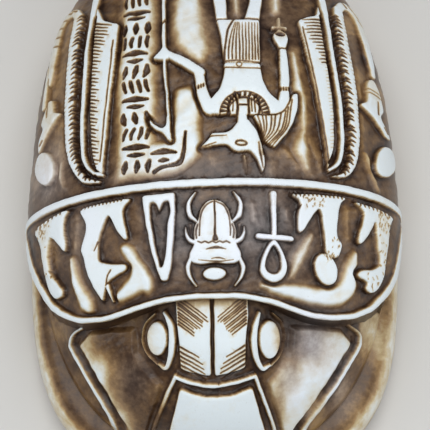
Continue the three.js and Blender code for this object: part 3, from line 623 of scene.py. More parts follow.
def add_small_beetle(back):
    x = 0.2
    half = [(0, -10.15), (1.3, -10.5), (2.3, -11.8), (2.8, -13.6), (3.3, -14.4), (3.6, -15.6), (3.5, -17),
            (3.7, -18), (4.3, -19.2), (4.4, -20.4), (3.6, -21), (2.3, -21.2), (0, -20.9)]
    back.raise_(Patch(moved(half, x) + moved(half[-2:0:-1], x, flip=-1)))
    for side in (-1, 1):
        back.raise_(
            Band(moved([(4.1, -20.2), (4.6, -21.6), (4.3, -23.1), (3.2, -24.7)], x, flip=side),
                 [0.7, 0.8, 0.6, 0.25]),
            Band(moved([(3.5, -17.4), (4.3, -17), (4.8, -16.1), (4.9, -14.9)], x, flip=side),
                 [0.8, 0.7, 0.5, 0.2]),
            Band(moved([(3.1, -13.9), (4.1, -12.9), (4.4, -11.4), (4.1, -10.2), (3.2, -8.9)], x, flip=side),
                 [0.5, 0.9, 0.8, 0.6, 0.25]),
        )
        back.cut(0.22, 0.85,
                 Band(moved([(0.3, -10.6), (1.5, -11.3), (2.2, -12.6), (2.55, -14.2), (2.6, -16.4)], x,
                            flip=side), 0.26),
                 Band(moved([(2.9, -14.5), (3.2, -15.6), (3.1, -16.8)], x, flip=side), 0.3))
        back.cushion(oval(x + side * 4.1, -15.1, 0.6, 0.9), 0.5, 0.5)
    back.raise_(oval(x - 0.2, -22.7, 1.95, 1.05))
    back.cut(0.3, 0.92,
             Band([(x, -10.5), (x, -14), (x, -16.4)], [0.3, 0.3, 0.44]),
             Patch([(x - 0.65, -17.3), (x - 0.15, -16), (x + 0.15, -16), (x + 0.65, -17.3)]))
    zigzag = [(x - 2.9 + 0.6 * k, -17.5 + 0.14 * (-1) ** k) for k in range(10)]
    back.cut(0.28, 0.8,
             Band(zigzag, 0.24, steps=1),
             Band([(-1.3, -18.7), (0.4, -18.4), (2.0, -18.7)], [0.12, 0.5, 0.12]),
             Band([(-2.6, -20.4), (0.4, -20.75), (3.2, -20.5)], [0.1, 0.22, 0.1]),
             Band([(-0.4, -20.3), (0.8, -20.15), (1.8, -20.4)], [0.1, 0.24, 0.1]))


def chips(middle, spread, count, seed):
    """Small chips scattered about a place."""
    chance = np.random.default_rng(SEED + seed)
    found = []
    for _ in range(count):
        x = middle[0] + chance.uniform(-1, 1) * spread[0]
        y = middle[1] + chance.uniform(-1, 1) * spread[1]
        length = chance.uniform(0.1, 0.6)
        lean = chance.uniform(-0.5, 0.5)
        ends = [(x, y), (x + length * math.sin(lean), y - length * math.cos(lean))]
        found.append(Band(ends, [chance.uniform(0.08, 0.2), 0.08]))
    return found


def add_seated_figures(back):
    """Four figures that sit with drawn-up knees, their heads toward the front rim."""
    back.raise_(
        # outer left, worn
        Patch([(-31.9, -10.2), (-24.6, -9), (-25.7, -10.6), (-25.9, -13.3), (-25.3, -15.4), (-25.7, -16.6),
               (-26.6, -15.3), (-28.4, -12.7), (-29.1, -15), (-28.5, -19), (-27.1, -21.2), (-25.8, -22.9),
               (-26.4, -23.8), (-27.7, -23.7), (-28.9, -21.8), (-29.8, -18), (-30.5, -13.2)], reach=1.0),
        # inner left, with a jackal's head
        Patch([(-23.4, -9.6), (-13.6, -9.1), (-15.1, -10.6), (-15.4, -11.8), (-14.5, -15.8), (-14.9, -16.4),
               (-15.5, -16), (-16.8, -14.2), (-17.8, -11.4), (-18.6, -12.9), (-19.5, -15.6), (-19.7, -18.8),
               (-19.2, -19.6), (-16.6, -20.2), (-14.9, -20.4), (-14.7, -21.4), (-16.6, -22.1),
               (-18.1, -23), (-18.6, -24.3), (-18.9, -26.3), (-20.2, -24.2), (-21.6, -21.4), (-22.3, -18.2),
               (-22.9, -16.8), (-22.2, -15), (-21.8, -13.5), (-22, -12)], reach=1.0),
        Band([(-18.1, -23.6), (-17.2, -26.2)], [0.8, 0.25]),
        # inner right
        Patch([(12.3, -8.9), (23.4, -8.3), (21.6, -9.6), (21.2, -13), (21, -15.7), (21.9, -16.6),
               (21.7, -17.8), (20.9, -19.4), (18.9, -19.2), (18.7, -15.5), (18.2, -10.8), (17.2, -12),
               (16, -13.9), (14.9, -15.6), (14, -15.4), (14.2, -12.3), (14.8, -10.8), (14.4, -9.7)],
              reach=1.0),
        oval(18.9, -21.3, 2.05, 2.6, slope=-0.15),
        # outer right, worn
        Patch([(23.8, -8.7), (31.9, -8.9), (31.1, -10.4), (30.8, -12.5), (30.3, -15.8), (29.5, -20.4),
               (28.2, -23), (26.7, -23.9), (25.6, -23.2), (26.5, -22.1), (24, -21.5), (25.3, -20.1),
               (27.1, -19.9), (28.4, -18.9), (28.8, -17.6), (28.3, -16), (28.2, -13.3), (28.2, -11),
               (27.3, -13), (26.1, -15.1), (25, -16.2), (24.5, -15.5), (25.7, -12.1), (26.1, -10)],
              reach=1.0),
    )
    add_seated_marks(back)
    back.stain_and_painted_shade((29.6, -13, 1.6, 6, 0.72, 0.45), (-29.4, -14, 1.6, 5, 0.78, 0.4))


def add_seated_marks(back):
    """Notches where each figure sits on the upper rim, cuts in the jackal's head, and chips."""
    for start, end, count in (((-22.6, -9.6), (-15.6, -9.2), 12), ((-31, -10.2), (-26.4, -9.4), 7),
                              ((13.2, -8.9), (22.6, -8.5), 14), ((25.2, -8.9), (30.6, -9.2), 8)):
        for share in np.linspace(0, 1, count):
            x, y = mix(start[0], end[0], share), mix(start[1], end[1], share)
            back.cut(0.4, 0.95, Band([(x, y + 0.35), (x + 0.08, y - 0.35)], [0.42, 0.16]))
    back.cut(0.3, 0.85,
             Band([(-17.4, -21), (-18, -22), (-18.3, -23.4)], 0.22),
             Band([(-20.2, -17.4), (-19.6, -16)], 0.18),
             *chips((19.9, -18.9), (1.6, 0.6), 26, 1), *chips((16.8, -10), (2.2, 1.0), 18, 2),
             *chips((29.6, -10.6), (1.3, 1.7), 34, 3), *chips((29.4, -16), (0.7, 4), 16, 4),
             *chips((27.2, -22), (1.8, 1.6), 14, 5), *chips((-29.6, -11.4), (1.3, 1.8), 26, 6),
             *chips((-28.6, -17), (0.7, 3), 16, 7), *chips((20.6, -16.8), (0.8, 1.2), 8, 8))


def add_thorax_cushions(back):
    back.cushion(Patch([(-15.8, -17.6), (-14.6, -17.3), (-13.5, -18.5), (-12.4, -20.4), (-11.3, -21.9),
                        (-10.6, -23.7), (-10.8, -25.3), (-12.5, -25.2), (-14.5, -26), (-16.8, -26.3),
                        (-17, -25.4), (-15.6, -24), (-14.4, -22.7), (-14.1, -21.2), (-14.8, -19.6)],
                       curved=True), 0.97, 0.75)
    for path, widths, height, soft in (
            ([(-24.6, -18), (-24.2, -20.7), (-23.3, -23.4), (-22.2, -25.6), (-21.5, -26.9)],
             [0.9, 1.2, 1.6, 2.1, 1.2], 0.97, 0.7),
            ([(8, -24.6), (10.2, -25.1), (12.7, -25.4), (14.9, -25.7), (17.8, -25.9), (20.8, -25.4),
              (22.8, -23.7), (23.3, -21.6), (23.9, -19.3), (24.4, -17.8)],
             [0.6, 1.3, 2.0, 2.5, 2.6, 3.0, 2.8, 2.1, 1.7, 0.6], 0.97, 0.7),
            ([(13, -22.8), (14.9, -19), (16.7, -15.8)], [0.8, 1.6, 0.5], 0.78, 0.9),
            ([(6.6, -10.8), (6.9, -13.6)], [0.6, 0.5], 0.42, 0.7),
            ([(12.5, -11.8), (12.5, -13.4)], [0.4, 0.4], 0.38, 0.6),
            ([(23.2, -10.6), (23.3, -15.2)], [0.6, 0.5], 0.42, 0.8),
            ([(-23.9, -12), (-24.3, -16.6)], [0.5, 0.5], 0.3, 0.8)):
        back.cushion(Band(path, widths), height, soft)


FRONT_RIM_PATH = [
    (-34.2, -7.5), (-33.6, -11), (-32.6, -15), (-31.6, -18.2), (-30.3, -20.9), (-28.6, -24),
    (-27, -25.9), (-25, -27.3), (-22.5, -28.4), (-18.5, -28.75), (-15, -28.1), (-10, -27), (-5, -26.4),
    (0, -26.3), (5, -26.4), (10, -27.3), (15, -28.7), (18.5, -29.05), (22.5, -28.5), (25, -27.4),
    (27.2, -25.9), (28.9, -23.9), (30.7, -21.2), (32, -18.3), (32.8, -15.2), (33.6, -11), (34.2, -7.5),
]


def back_carving():
    back = Carving()
    across = np.linspace(-35, 35, 36)
    back.raise_(Band(list(zip(across, upper_rim_y(across))), UPPER_RIM_WIDTH, steps=1),
                Band(FRONT_RIM_PATH, FRONT_RIM_WIDTH))
    add_standing_figure(back)
    add_staff(back)
    add_left_feather(back)
    add_right_feather(back)
    add_palm_ribs(back)
    add_side_figures(back)
    add_writing_strip(back)
    add_back_cushions(back)
    add_ankh(back)
    add_wedge(back)
    add_small_beetle(back)
    add_seated_figures(back)
    add_thorax_cushions(back)
    return back


# Carving on the bed: head, eyes, clypeus and leg plates

def add_head(bed):
    middle = -0.5
    chance = np.random.default_rng(SEED + 20)
    panel = [(0.28, -26), (6.2, -26), (6.1, -29.5), (5.7, -33), (5.5, -37), (3.2, -37.6), (0.28, -38.1)]
    bed.raise_(Patch(moved(panel, middle)), Patch(moved(panel, middle, flip=-1)))
    for side in (-1, 1):
        for step in range(10):
            y = -25.6 - 0.5 * step + chance.uniform(-0.08, 0.08)
            reach = chance.uniform(4.6, 5.3) - 0.3 * step
            ends = moved([(5.7, y), (5.7 - reach, y - 0.76 * reach)], middle, flip=side)
            bed.cut(0.22, 0.95, Band(ends, [0.3, chance.uniform(0.34, 0.5), 0.16]))
        for step in range(6):
            y = -33.6 - 0.64 * step + chance.uniform(-0.08, 0.08)
            reach = chance.uniform(2.9, 3.3) + 0.4 * min(step, 3)
            ends = moved([(5.4, y), (5.4 - reach, y - 0.52 * reach)], middle, flip=side)
            bed.cut(0.24, 0.95, Band(ends, [0.3, chance.uniform(0.45, 0.62), 0.16]))
    plate = [(0, -41), (3, -40.7), (6.2, -39.6), (8.2, -45.2), (9.2, -47.2), (0, -47.4)]
    bed.raise_(
        Patch(plate + moved(plate[-2:0:-1], flip=-1)),
        Band([(-7, -37.9), (-4.4, -38.9), (-0.7, -39.45), (3.1, -39.05), (6.6, -38)], 0.62),
        Band([(-7, -37.9), (-8.9, -41), (-11.2, -45.2), (-12, -47.2)], 0.75),
        Band([(6.7, -38), (8.4, -41.6), (10, -45.2), (10.9, -47.2)], 0.7),
    )
    # painted shadow of the front rim, in a thin band across the top of the head
    bed.stain_and_painted_shade((-3.7, -26.2, 4, 1.4, 0.3, 0.7), (2.7, -26.2, 4, 1.4, 0.3, 0.7))


def add_eyes(bed):
    lid = [0.5, 1.0, 1.2, 1.1, 0.8, 0.4]
    bed.raise_(
        oval(-10, -31.7, 1.7, 2.7, 0.12),
        oval(9.3, -32.2, 1.8, 3.0, -0.1),
        Band([(-8.7, -27.9), (-7.7, -30), (-7.4, -32.6), (-7.8, -35), (-8.6, -36.4), (-9.8, -35.6)], lid),
        Band([(7.6, -28.3), (6.9, -30.6), (6.6, -33.2), (7.0, -35.4), (8, -36.8), (9.3, -36.1)], lid),
        Band([(-10, -35.7), (-11.9, -33.7), (-12.6, -31.4), (-12, -28.9), (-10.4, -27.7)], 0.24),
        Band([(9.5, -36.2), (11.1, -34.4), (12, -32), (11.6, -29.4), (10, -28)], 0.24),
    )
    bed.stain_and_painted_shade((-11.3, -31, 1.0, 3.6, 0.6, 0.4), (11, -31, 1.0, 3.4, 0.6, 0.4))


def add_leg_plates(bed):
    left_edge = [(-22.6, -27.6), (-24.9, -28.2), (-25.6, -29.2), (-25.3, -30.6), (-22, -36.6), (-19, -41.4),
                 (-16.9, -44.6), (-15.2, -47)]
    right_edge = [(22.9, -27.9), (25.1, -28.6), (25.5, -29.6), (25, -31.3), (21.4, -37), (18.2, -41.2),
                  (14.6, -45.2), (13.2, -47)]
    bed.raise_(Band(left_edge, 0.58), Band(right_edge, 0.58))
    bed.cushion(Patch([(-22, -29), (-24.1, -30.4), (-20.6, -36.4), (-17.6, -41.3), (-14.4, -46.2),
                       (-13, -46), (-9.6, -39), (-11.8, -36.6), (-13.9, -33.4), (-14, -29.6)]), 0.92, 0.5)
    bed.cushion(Patch([(22, -29.2), (24, -30.6), (20.1, -36.8), (16.9, -41.2), (13, -45.8), (11.8, -46),
                       (9.2, -39), (11.2, -36.6), (13, -33.6), (13.2, -29.8)]), 0.92, 0.5)
    bed.cut(0.3, 0.8,
            Band([(-24.5, -29.2), (-24.6, -30.6), (-21.4, -36.3), (-18.4, -41.1), (-15.3, -45.8)], 0.42),
            Band([(24.4, -29.6), (24.3, -31.1), (20.7, -36.8), (17.5, -41), (13.6, -45.4)], 0.42))


def bed_carving():
    bed = Carving()
    add_head(bed)
    add_eyes(bed)
    add_leg_plates(bed)
    # dirt on the leg plates toward the head; toward the thorax, painted shadow of the front rim on their
    # tops, mixed with dirt
    bed.stain_and_painted_shade((-17.4, -30.4, 4.4, 3.2, 0.16, 0.9), (-15.6, -33.6, 2.8, 3.2, 0.16, 0.9),
              (-13.4, -38.2, 4.2, 4.2, 0.13, 0.95), (-12, -43.6, 3.2, 5, 0.16, 0.92),
              (-17.2, -36.4, 1.8, 3, 0.42, 0.75), (12.9, -31.4, 2.2, 4.4, 0.2, 0.85),
              (18, -27.8, 7, 2.3, 0.16, 0.9), (16.8, -32.4, 3.6, 3.2, 0.52, 0.85),
              (12.8, -36.4, 1.8, 3.2, 0.5, 0.75), (10.8, -41, 1.2, 4.4, 0.4, 0.6),
              (17.4, -42, 2.2, 4.5, 0.7, 0.6))
    return bed


# Surfaces

def back_half_width(y):
    """The back's half width, with the thorax swelling a little."""
    return BACK_HALF_WIDTH + THORAX_SWELL * np.exp(-((y - THORAX_Y) / THORAX_REACH) ** 2)


def back_share(x, y, inset=0.0):
    """How far out on the back a place lies, 0 at its centre and 1 at its edge."""
    along = y - CENTRE_Y
    rear = along > 0
    power = np.where(rear, BACK_POWER_REAR, BACK_POWER_FRONT)
    length = np.where(rear, BACK_REAR, BACK_FRONT) - inset
    across = np.abs(x / (back_half_width(y) - inset))
    return (across ** power + np.abs(along / length) ** power) ** (1 / power)


def back_height(x, y):
    share = np.clip(back_share(x, y), 0, 1)
    return BACK_EDGE_Z + (BACK_TOP - BACK_EDGE_Z) * np.sqrt(1 - share ** DOME_POWER)


def bed_share(x, y):
    """How far out on the bed a place lies, 0 at its centre and 1 at its edge."""
    across = np.abs(x / BED_HALF_WIDTH) ** BED_POWER
    return (across + np.abs((y - CENTRE_Y) / BED_FRONT) ** BED_POWER) ** (1 / BED_POWER)


def bed_height(x, y):
    share = np.clip(bed_share(x, y), 0, 1)
    swell = 3.2 * np.exp(-(np.abs(x) / 10) ** 4) * (0.35 + 0.65 * smooth(-42, -32, y))
    return BASE_TOP + (BED_TOP - BASE_TOP) * np.sqrt(1 - share ** 2) + swell


def superellipse(angle, half_x, half_y, power):
    across = np.abs(np.cos(angle) / half_x) ** power
    along = np.abs(np.sin(angle) / half_y) ** power
    return (across + along) ** (-1 / power)


def back_outline(angle, inset=0.0, middle_y=CENTRE_Y):
    """Distance from a point on the back's axis to the edge."""
    low = np.zeros(angle.shape)
    high = np.full(angle.shape, 80.0)
    for _ in range(36):
        half = (low + high) / 2
        inside = back_share(half * np.cos(angle), middle_y + half * np.sin(angle), inset) < 1
        low = np.where(inside, half, low)
        high = np.where(inside, high, half)
    return low


def polar_distance(points, centre_y, angles):
    """Distance from (0, centre_y) to an open path at the given angles below the X axis."""
    run = points - np.array([0, centre_y])
    path_angles = np.unwrap(np.arctan2(run[:, 1], run[:, 0]))
    path_angles -= 2 * math.pi * np.round((path_angles.mean() + math.pi / 2) / (2 * math.pi))
    order = np.argsort(path_angles)
    return np.interp(angles, path_angles[order], np.hypot(run[:, 0], run[:, 1])[order],
                     left=np.inf, right=np.inf)


def outer_edge_of_front_rim():
    path = spline(FRONT_RIM_PATH, 8)
    along = np.gradient(path, axis=0)
    along /= np.linalg.norm(along, axis=1)[:, None]
    outward = np.stack([along[:, 1], -along[:, 0]], 1)
    return path + outward * FRONT_RIM_WIDTH / 2


def unwrapped(angle):
    """The same angle between -270 and 90 degrees, so that the head's side is in one piece."""
    return np.where(angle > math.pi / 2, angle - 2 * math.pi, angle)


def back_limit(angle):
    """Distance from the back's middle to its edge or to the front rim's outer edge."""
    rim = polar_distance(outer_edge_of_front_rim(), BACK_MIDDLE_Y, unwrapped(angle))
    return np.minimum(back_outline(angle, middle_y=BACK_MIDDLE_Y), rim)


# Meshes as arrays

def grid_faces(rows, columns, closed=False):
    """Two triangles in each cell of a grid of points."""
    index = np.arange(rows * columns).reshape(rows, columns)
    if closed:
        index = np.hstack([index, index[:, :1]])
    a, b = index[:-1, :-1].ravel(), index[:-1, 1:].ravel()
    c, d = index[1:, 1:].ravel(), index[1:, :-1].ravel()
    return np.vstack([np.stack([a, b, c], 1), np.stack([a, c, d], 1)])


def grid_normals(points):
    """Unit normals of a grid of points, turned upward."""
    down = np.gradient(points, axis=0)
    over = np.gradient(points, axis=1)
    normal = np.cross(over, down)
    normal /= np.maximum(np.linalg.norm(normal, axis=2, keepdims=True), 1e-9)
    return np.where(normal[..., 2:] < 0, -normal, normal)


def fan_faces(ring, middle):
    return np.stack([ring, np.roll(ring, -1), np.full(len(ring), middle)], 1)


def capped(rings, tones, low, high, low_tone, high_tone):
    """A closed shell from rings of points, lowest first, with a middle point below and above."""
    columns = len(rings[0])
    first = np.arange(columns)
    last = first + columns * (len(rings) - 1)
    bottom = columns * len(rings)
    vertices = np.vstack(rings + [[low], [high]])
    faces = np.vstack([grid_faces(len(rings), columns, closed=True), fan_faces(first, bottom)[:, ::-1],
                       fan_faces(last, bottom + 1)])
    return vertices, faces, np.concatenate(tones + [[low_tone], [high_tone]])


def back_grid():
    """Plan places of the back's mesh, in square rings that widen from its middle to its edge."""
    side = np.linspace(-1, 1, 2 * BACK_CELLS + 1)
    across, along = np.meshgrid(side, side)
    ring = np.maximum(np.abs(across), np.abs(along))
    small = np.minimum(np.abs(across), np.abs(along)) / np.maximum(ring, 1e-9)
    lean = small * math.pi / 4
    angle = np.where(np.abs(across) >= np.abs(along), lean, math.pi / 2 - lean)
    angle = np.arctan2(np.sin(angle) * np.sign(along + 1e-12), np.cos(angle) * np.sign(across + 1e-12))
    share = 0.6 * ring + 0.4 * np.sin(ring * math.pi / 2)
    distance = back_limit(angle) * share * 0.9995
    return distance * np.cos(angle), BACK_MIDDLE_Y + distance * np.sin(angle)


def back_skirt(edge):
    """Rings of points down from the back's border, and their tones: painted shade, darker down the skirt and
    under the front rim's lip.
    """
    angle = np.arctan2(edge[:, 1] - BACK_MIDDLE_Y, edge[:, 0])
    # the front rim hangs over the bed like a lip, the rest of the edge over the folded legs
    front = smooth(0.6, 2.2, edge[:, 2] - BACK_EDGE_Z) * (edge[:, 1] < -7)
    rings = []
    tones = []
    # the last number of each ring is its painted shade, darkest at the foot of the skirt
    for drop, inset, lip_drop, lip_inset, painted_shading in (
            (0.25, 0.05, 0.12, 0.0, 0.80), (0.8, 0.1, 0.35, 0.12, 0.62), (1.3, 0.5, 0.7, 0.4, 0.30),
            (1.65, 1.2, 1.3, 0.6, 0.12), (1.7, 2.6, 14.0, 0.8, 0.06)):
        low = np.maximum(mix(edge[:, 2] - drop, edge[:, 2] - lip_drop, front), 7.0)
        inward = mix(inset, lip_inset, front)
        rings.append(np.stack([edge[:, 0] - inward * np.cos(angle), edge[:, 1] - inward * np.sin(angle),
                               low], 1))
        tones.append(np.full(len(edge), painted_shading))
    return rings, tones


def back_shell(carving):
    """The back and thorax as a closed shell: a carved dome, its edge, and a hidden floor."""
    x, y = back_grid()
    points = np.stack([x, y, back_height(x, y)], 2)
    relief = RELIEF * (1 - 0.65 * smooth(0.88, 0.98, back_share(x, y)))
    height, tone = carving.evaluate(x.ravel(), y.ravel(), relief.ravel())
    points += grid_normals(points) * height.reshape(x.shape + (1,))
    size = len(x)
    index = np.arange(size * size).reshape(size, size)
    border = np.concatenate([index[0, :-1], index[:-1, -1], index[-1, :0:-1], index[:0:-1, 0]])
    flat = points.reshape(-1, 3)
    rings, tones = back_skirt(flat[border])
    # the skirt's first ring is the dome's own border
    start = len(flat)
    end = start + len(border) * len(rings)
    renumber = np.concatenate([border, np.arange(start, end)])
    skirt = renumber[grid_faces(len(rings) + 1, len(border), closed=True)]
    floor = fan_faces(np.arange(end - len(border), end), end)
    vertices = np.vstack([flat] + rings + [[[0, BACK_MIDDLE_Y, BACK_FLOOR_Z]]])
    faces = np.vstack([grid_faces(size, size), skirt[:, ::-1], floor[:, ::-1]])
    return vertices, faces, np.concatenate([tone] + tones + [[0.1]])


def bed_shell(carving):
    """The head's side of the amulet below the front rim, as a closed shell."""
    angles = np.radians(np.linspace(-170, -10, BED_COLUMNS))
    reach = superellipse(angles, BED_HALF_WIDTH, BED_FRONT, BED_POWER)
    rim = polar_distance(outer_edge_of_front_rim(), CENTRE_Y, angles)
    start = np.clip((np.minimum(rim, reach) - 2.2) / reach, 0.3, 0.93)
    rows = np.linspace(0, 1, BED_ROWS)[:, None]
    share = start + (1 - start) * (0.75 * rows + 0.25 * np.sin(rows * math.pi / 2))
    x = reach * share * np.cos(angles)
    y = CENTRE_Y + reach * share * np.sin(angles)
    points = np.stack([x, y, bed_height(x, y)], 2)
    height, tone = carving.evaluate(x.ravel(), y.ravel(), 0.9)
    height, tone = height.reshape(x.shape), tone.reshape(x.shape)
    margin = beyond_leg_plates(x, y) * smooth(0.1, 0.7, outside_ridge(x, y))
    # the steep wall at the bed's edge is painted lighter, to make up for the shade it stands in
    painted_wall_light = smooth(0.88, 0.97, bed_share(x, y))
    tone = mix(tone, margin_tone(x, y) + 0.08 * painted_wall_light, margin)
    height *= smooth(1.0, 0.985, share)
    points += grid_normals(points) * height[..., None]
    floor = points[[0, -1]]
    floor[..., 2] = BED_FLOOR_Z
    under = np.arange(2 * BED_COLUMNS).reshape(2, BED_COLUMNS) + BED_ROWS * BED_COLUMNS
    faces = np.vstack([grid_faces(BED_ROWS, BED_COLUMNS), bed_sides(under),
                       grid_faces(2, BED_COLUMNS)[:, ::-1] + BED_ROWS * BED_COLUMNS])
    vertices = np.vstack([points.reshape(-1, 3), floor.reshape(-1, 3)])
    return vertices, faces, np.concatenate([tone.ravel(), np.full(2 * BED_COLUMNS, 0.1)])


def bed_sides(under):
    """Walls from the bed's border down to its floor, which has no points along its short sides."""
    index = np.arange(BED_ROWS * BED_COLUMNS).reshape(BED_ROWS, BED_COLUMNS)
    loop = np.concatenate([index[0], index[1:, -1], index[-1, -2::-1], index[-2:0:-1, 0]])
    right = np.full(BED_ROWS - 2, under[0, -1])
    left = np.full(BED_ROWS - 2, under[1, 0])
    below = np.concatenate([under[0], right, under[1, ::-1], left])
    triangles = []
    for k in range(len(loop)):
        after = (k + 1) % len(loop)
        triangles.append((loop[k], below[k], loop[after]))
        if below[k] != below[after]:
            triangles.append((below[k], below[after], loop[after]))
    return np.array(triangles)


def margin_tone(x, y):
    """Stain on the margin round the leg plates: olive on the left, tan on the right."""
    tone = 0.21 + 0.30 * smooth(-5, 5, x) + 0.12 * uneven(0.8 * x, 0.7 * y)
    # each stain is its x, y and two radii, the tone it brings, and how strongly
    for *spot, target, strength in (
            (28.5, -27.5, 3, 3.4, 0.68, 0.8), (24.8, -34, 3, 5, 0.20, 0.9), (19.5, -42, 3, 5, 0.24, 0.9),
            (-29.5, -27, 1.6, 5, 0.52, 0.5), (-24, -40, 2.5, 4, 0.30, 0.6)):
        tone = mix(tone, target, strength * np.exp(-from_spot(x, y, *spot)))
    return tone


def where_sheen_is_painted(x, y):
    """Where a greyish mauve sheen is painted on the dirt, standing in for its gloss reflecting the lamps, 0
    to 1.
    """
    found = np.zeros(x.shape)
    # each place is its x, y and two radii, and how strong the painted sheen is
    for *spot, strength in (
            (8, -15, 8, 8, 0.9), (-6, -15, 5, 8, 0.8), (16.4, -32, 4.4, 5, 1.0), (-29, -2, 4, 7, 0.7),
            (0, -5, 20, 2.6, 0.5), (13, -38, 2.6, 4, 0.7), (-14, -37, 3, 4, 0.35), (-22, -13, 4, 6, 0.4),
            (21, -36, 3, 5, 0.5), (6, 24, 14, 8, 0.25)):
        found = np.maximum(found, strength * np.exp(-from_spot(x, y, *spot)))
    return found


def outside_ridge(x, y):
    """Distance outward from the ridge along the leg plates."""
    ridge = Band([(25.2, -28), (25.2, -30.4), (24, -32.9), (21, -37.9), (18, -42.1), (15.4, -45.5),
                  (13, -48.4)], 1.0)
    return nearest([ridge], np.abs(x).ravel(), y.ravel(), 4).reshape(x.shape)


def beyond_leg_plates(x, y):
    """1 on the margin outside the leg plates' ridges."""
    line = np.interp(-y, [20, 28, 30.4, 32.9, 37.9, 42.1, 45.5, 48.4, 52],
                     [25.4, 25.4, 25.3, 24, 21, 18, 15.2, 12.8, 9])
    return smooth(0.2, 0.9, np.abs(x) - line)


def slab_shell():
    """The base: a rounded oval slab, with painted light and shade on its rounded edge."""
    angles = np.linspace(0, 2 * math.pi, 300, endpoint=False)
    power = np.where(np.sin(angles) > 0, BASE_POWER_REAR, BASE_POWER_FRONT)
    rings = []
    tones = []
    # the last number of each ring is painted light and shade: dark at the foot, a painted highlight round
    # the middle of the rounded edge, darker again toward the top
    for inset, z, painted_shading in (
            (1.5, 0, 0.3), (0.9, 0.12, 0.35), (0.4, 0.55, 0.48), (0.12, 1.3, 0.6), (0.02, 2.6, 0.68),
            (0, 4.2, 0.74), (0.08, 5.4, 0.78), (0.35, 6.5, 0.80), (0.85, 7.4, 0.76), (1.4, 7.95, 0.66),
            (2.0, 8.3, 0.56), (3.2, 8.48, 0.5), (5, 8.5, 0.45)):
        distance = superellipse(angles, BASE_HALF_WIDTH - inset, BASE_HALF_LENGTH - inset, power)
        x = distance * np.cos(angles)
        y = distance * np.sin(angles)
        worn = 0.07 * uneven(1.3 * x + 2 * z, 1.3 * y) * (0.1 < z < 8.4)
        rings.append(np.stack([x - worn * np.cos(angles), y - worn * np.sin(angles),
                               np.full(len(x), z)], 1))
        tones.append(mix(painted_shading + 0.1 * uneven(x, y + 3 * z), margin_tone(x, y), smooth(7.6, 8.4, z)))
    return capped(rings, tones, (0, 0, 0), (0, 0, BASE_TOP), 0.4, 0.2)


def waist_shell():
    """The undercut wall between base and back, with the folded legs on it."""
    angles = np.linspace(0, 2 * math.pi, 420, endpoint=False)
    heights = np.linspace(WAIST_BOTTOM, WAIST_TOP, 12)
    legs = [Band([(knee, 11.6), ((knee + foot) / 2, 9.8), (foot, 8.6)], [1.2, 2, 1.6])
            for knee, foot in ((33, 14), (15, 0), (3, -14))]
    y = CENTRE_Y + back_outline(angles, WAIST_INSET) * np.sin(angles)
    # on the head's side it stays hidden under the bed
    hidden = 4 * smooth(-18, -27, y)
    rings = []
    tones = []
    for z in heights:
        gap = nearest(legs, y, np.full(len(angles), z), 1.5)
        proud = LEG_PROUD * smooth(0.35, -0.25, gap)
        distance = back_outline(angles, WAIST_INSET - proud) - hidden
        rings.append(np.stack([distance * np.cos(angles), CENTRE_Y + distance * np.sin(angles),
                               np.full(len(angles), z)], 1))
        tones.append(mix(0.16, 0.72, smooth(0.2, -0.3, gap)))
    return capped(rings, tones, (0, CENTRE_Y, heights[0]), (0, CENTRE_Y, heights[-1]), 0.1, 0.1)


def mesh_object(name, vertices, faces, tones):
    mesh = bpy.data.meshes.new(name)
    mesh.vertices.add(len(vertices))
    mesh.vertices.foreach_set("co", (vertices * MM).astype(np.float32).ravel())
    mesh.loops.add(3 * len(faces))
    mesh.loops.foreach_set("vertex_index", faces.astype(np.int32).ravel())
    mesh.polygons.add(len(faces))
    mesh.polygons.foreach_set("loop_start", np.arange(0, 3 * len(faces), 3, dtype=np.int32))
    mesh.attributes.new("tone", "FLOAT", "POINT").data.foreach_set("value", tones.astype(np.float32))
    mesh.update(calc_edges=True)
    mesh.validate()
    made = bpy.data.objects.new(name, mesh)
    bpy.context.collection.objects.link(made)
    return made


def arrays_of(mesh):
    vertices = np.zeros(3 * len(mesh.vertices), np.float32)
    mesh.vertices.foreach_get("co", vertices)
    faces = np.zeros(3 * len(mesh.polygons), np.int32)
    mesh.loops.foreach_get("vertex_index", faces)
    tones = np.zeros(len(mesh.vertices), np.float32)
    mesh.attributes["tone"].data.foreach_get("value", tones)
    return vertices.reshape(-1, 3) / MM, faces.reshape(-1, 3), tones


def thinned(name, shell, triangles):
    """The same shell with fewer triangles, kept where the carving turns."""
    dense = mesh_object(name, *shell)
    reduce = dense.modifiers.new("thin", "DECIMATE")
    reduce.ratio = min(1.0, triangles / len(shell[1]))
    reduce.use_collapse_triangulate = True
    evaluated = dense.evaluated_get(bpy.context.evaluated_depsgraph_get())
    mesh = evaluated.to_mesh()
    result = arrays_of(mesh)
    evaluated.to_mesh_clear()
    bpy.data.objects.remove(dense)
    return result


def joined(shells):
    start = 0
    faces = []
    for shell_vertices, shell_faces, _ in shells:
        faces.append(shell_faces + start)
        start += len(shell_vertices)
    vertices, _, tones = zip(*shells)
    return np.vstack(vertices), np.vstack(faces), np.concatenate(tones)


# Materials

def put(tree, socket, value):
    """Give a socket another node's output, or a number or colour of its own."""
    if isinstance(value, bpy.types.NodeSocket):
        tree.links.new(value, socket)
    else:
        socket.default_value = value


def add_node(tree, kind, **values):
    """A shader node with some of its inputs or settings given."""
    made = tree.nodes.new(kind)
    for name, value in values.items():
        if name in made.inputs:
            put(tree, made.inputs[name], value)
        else:
            setattr(made, name, value)
    return made


def blank_material(name):
    material = bpy.data.materials.new(name)
    material.use_nodes = True
    tree = material.node_tree
    tree.nodes.clear()
    shader = add_node(tree, "ShaderNodeBsdfPrincipled")
    add_node(tree, "ShaderNodeOutputMaterial", Surface=shader.outputs["BSDF"])
    return material, tree, shader


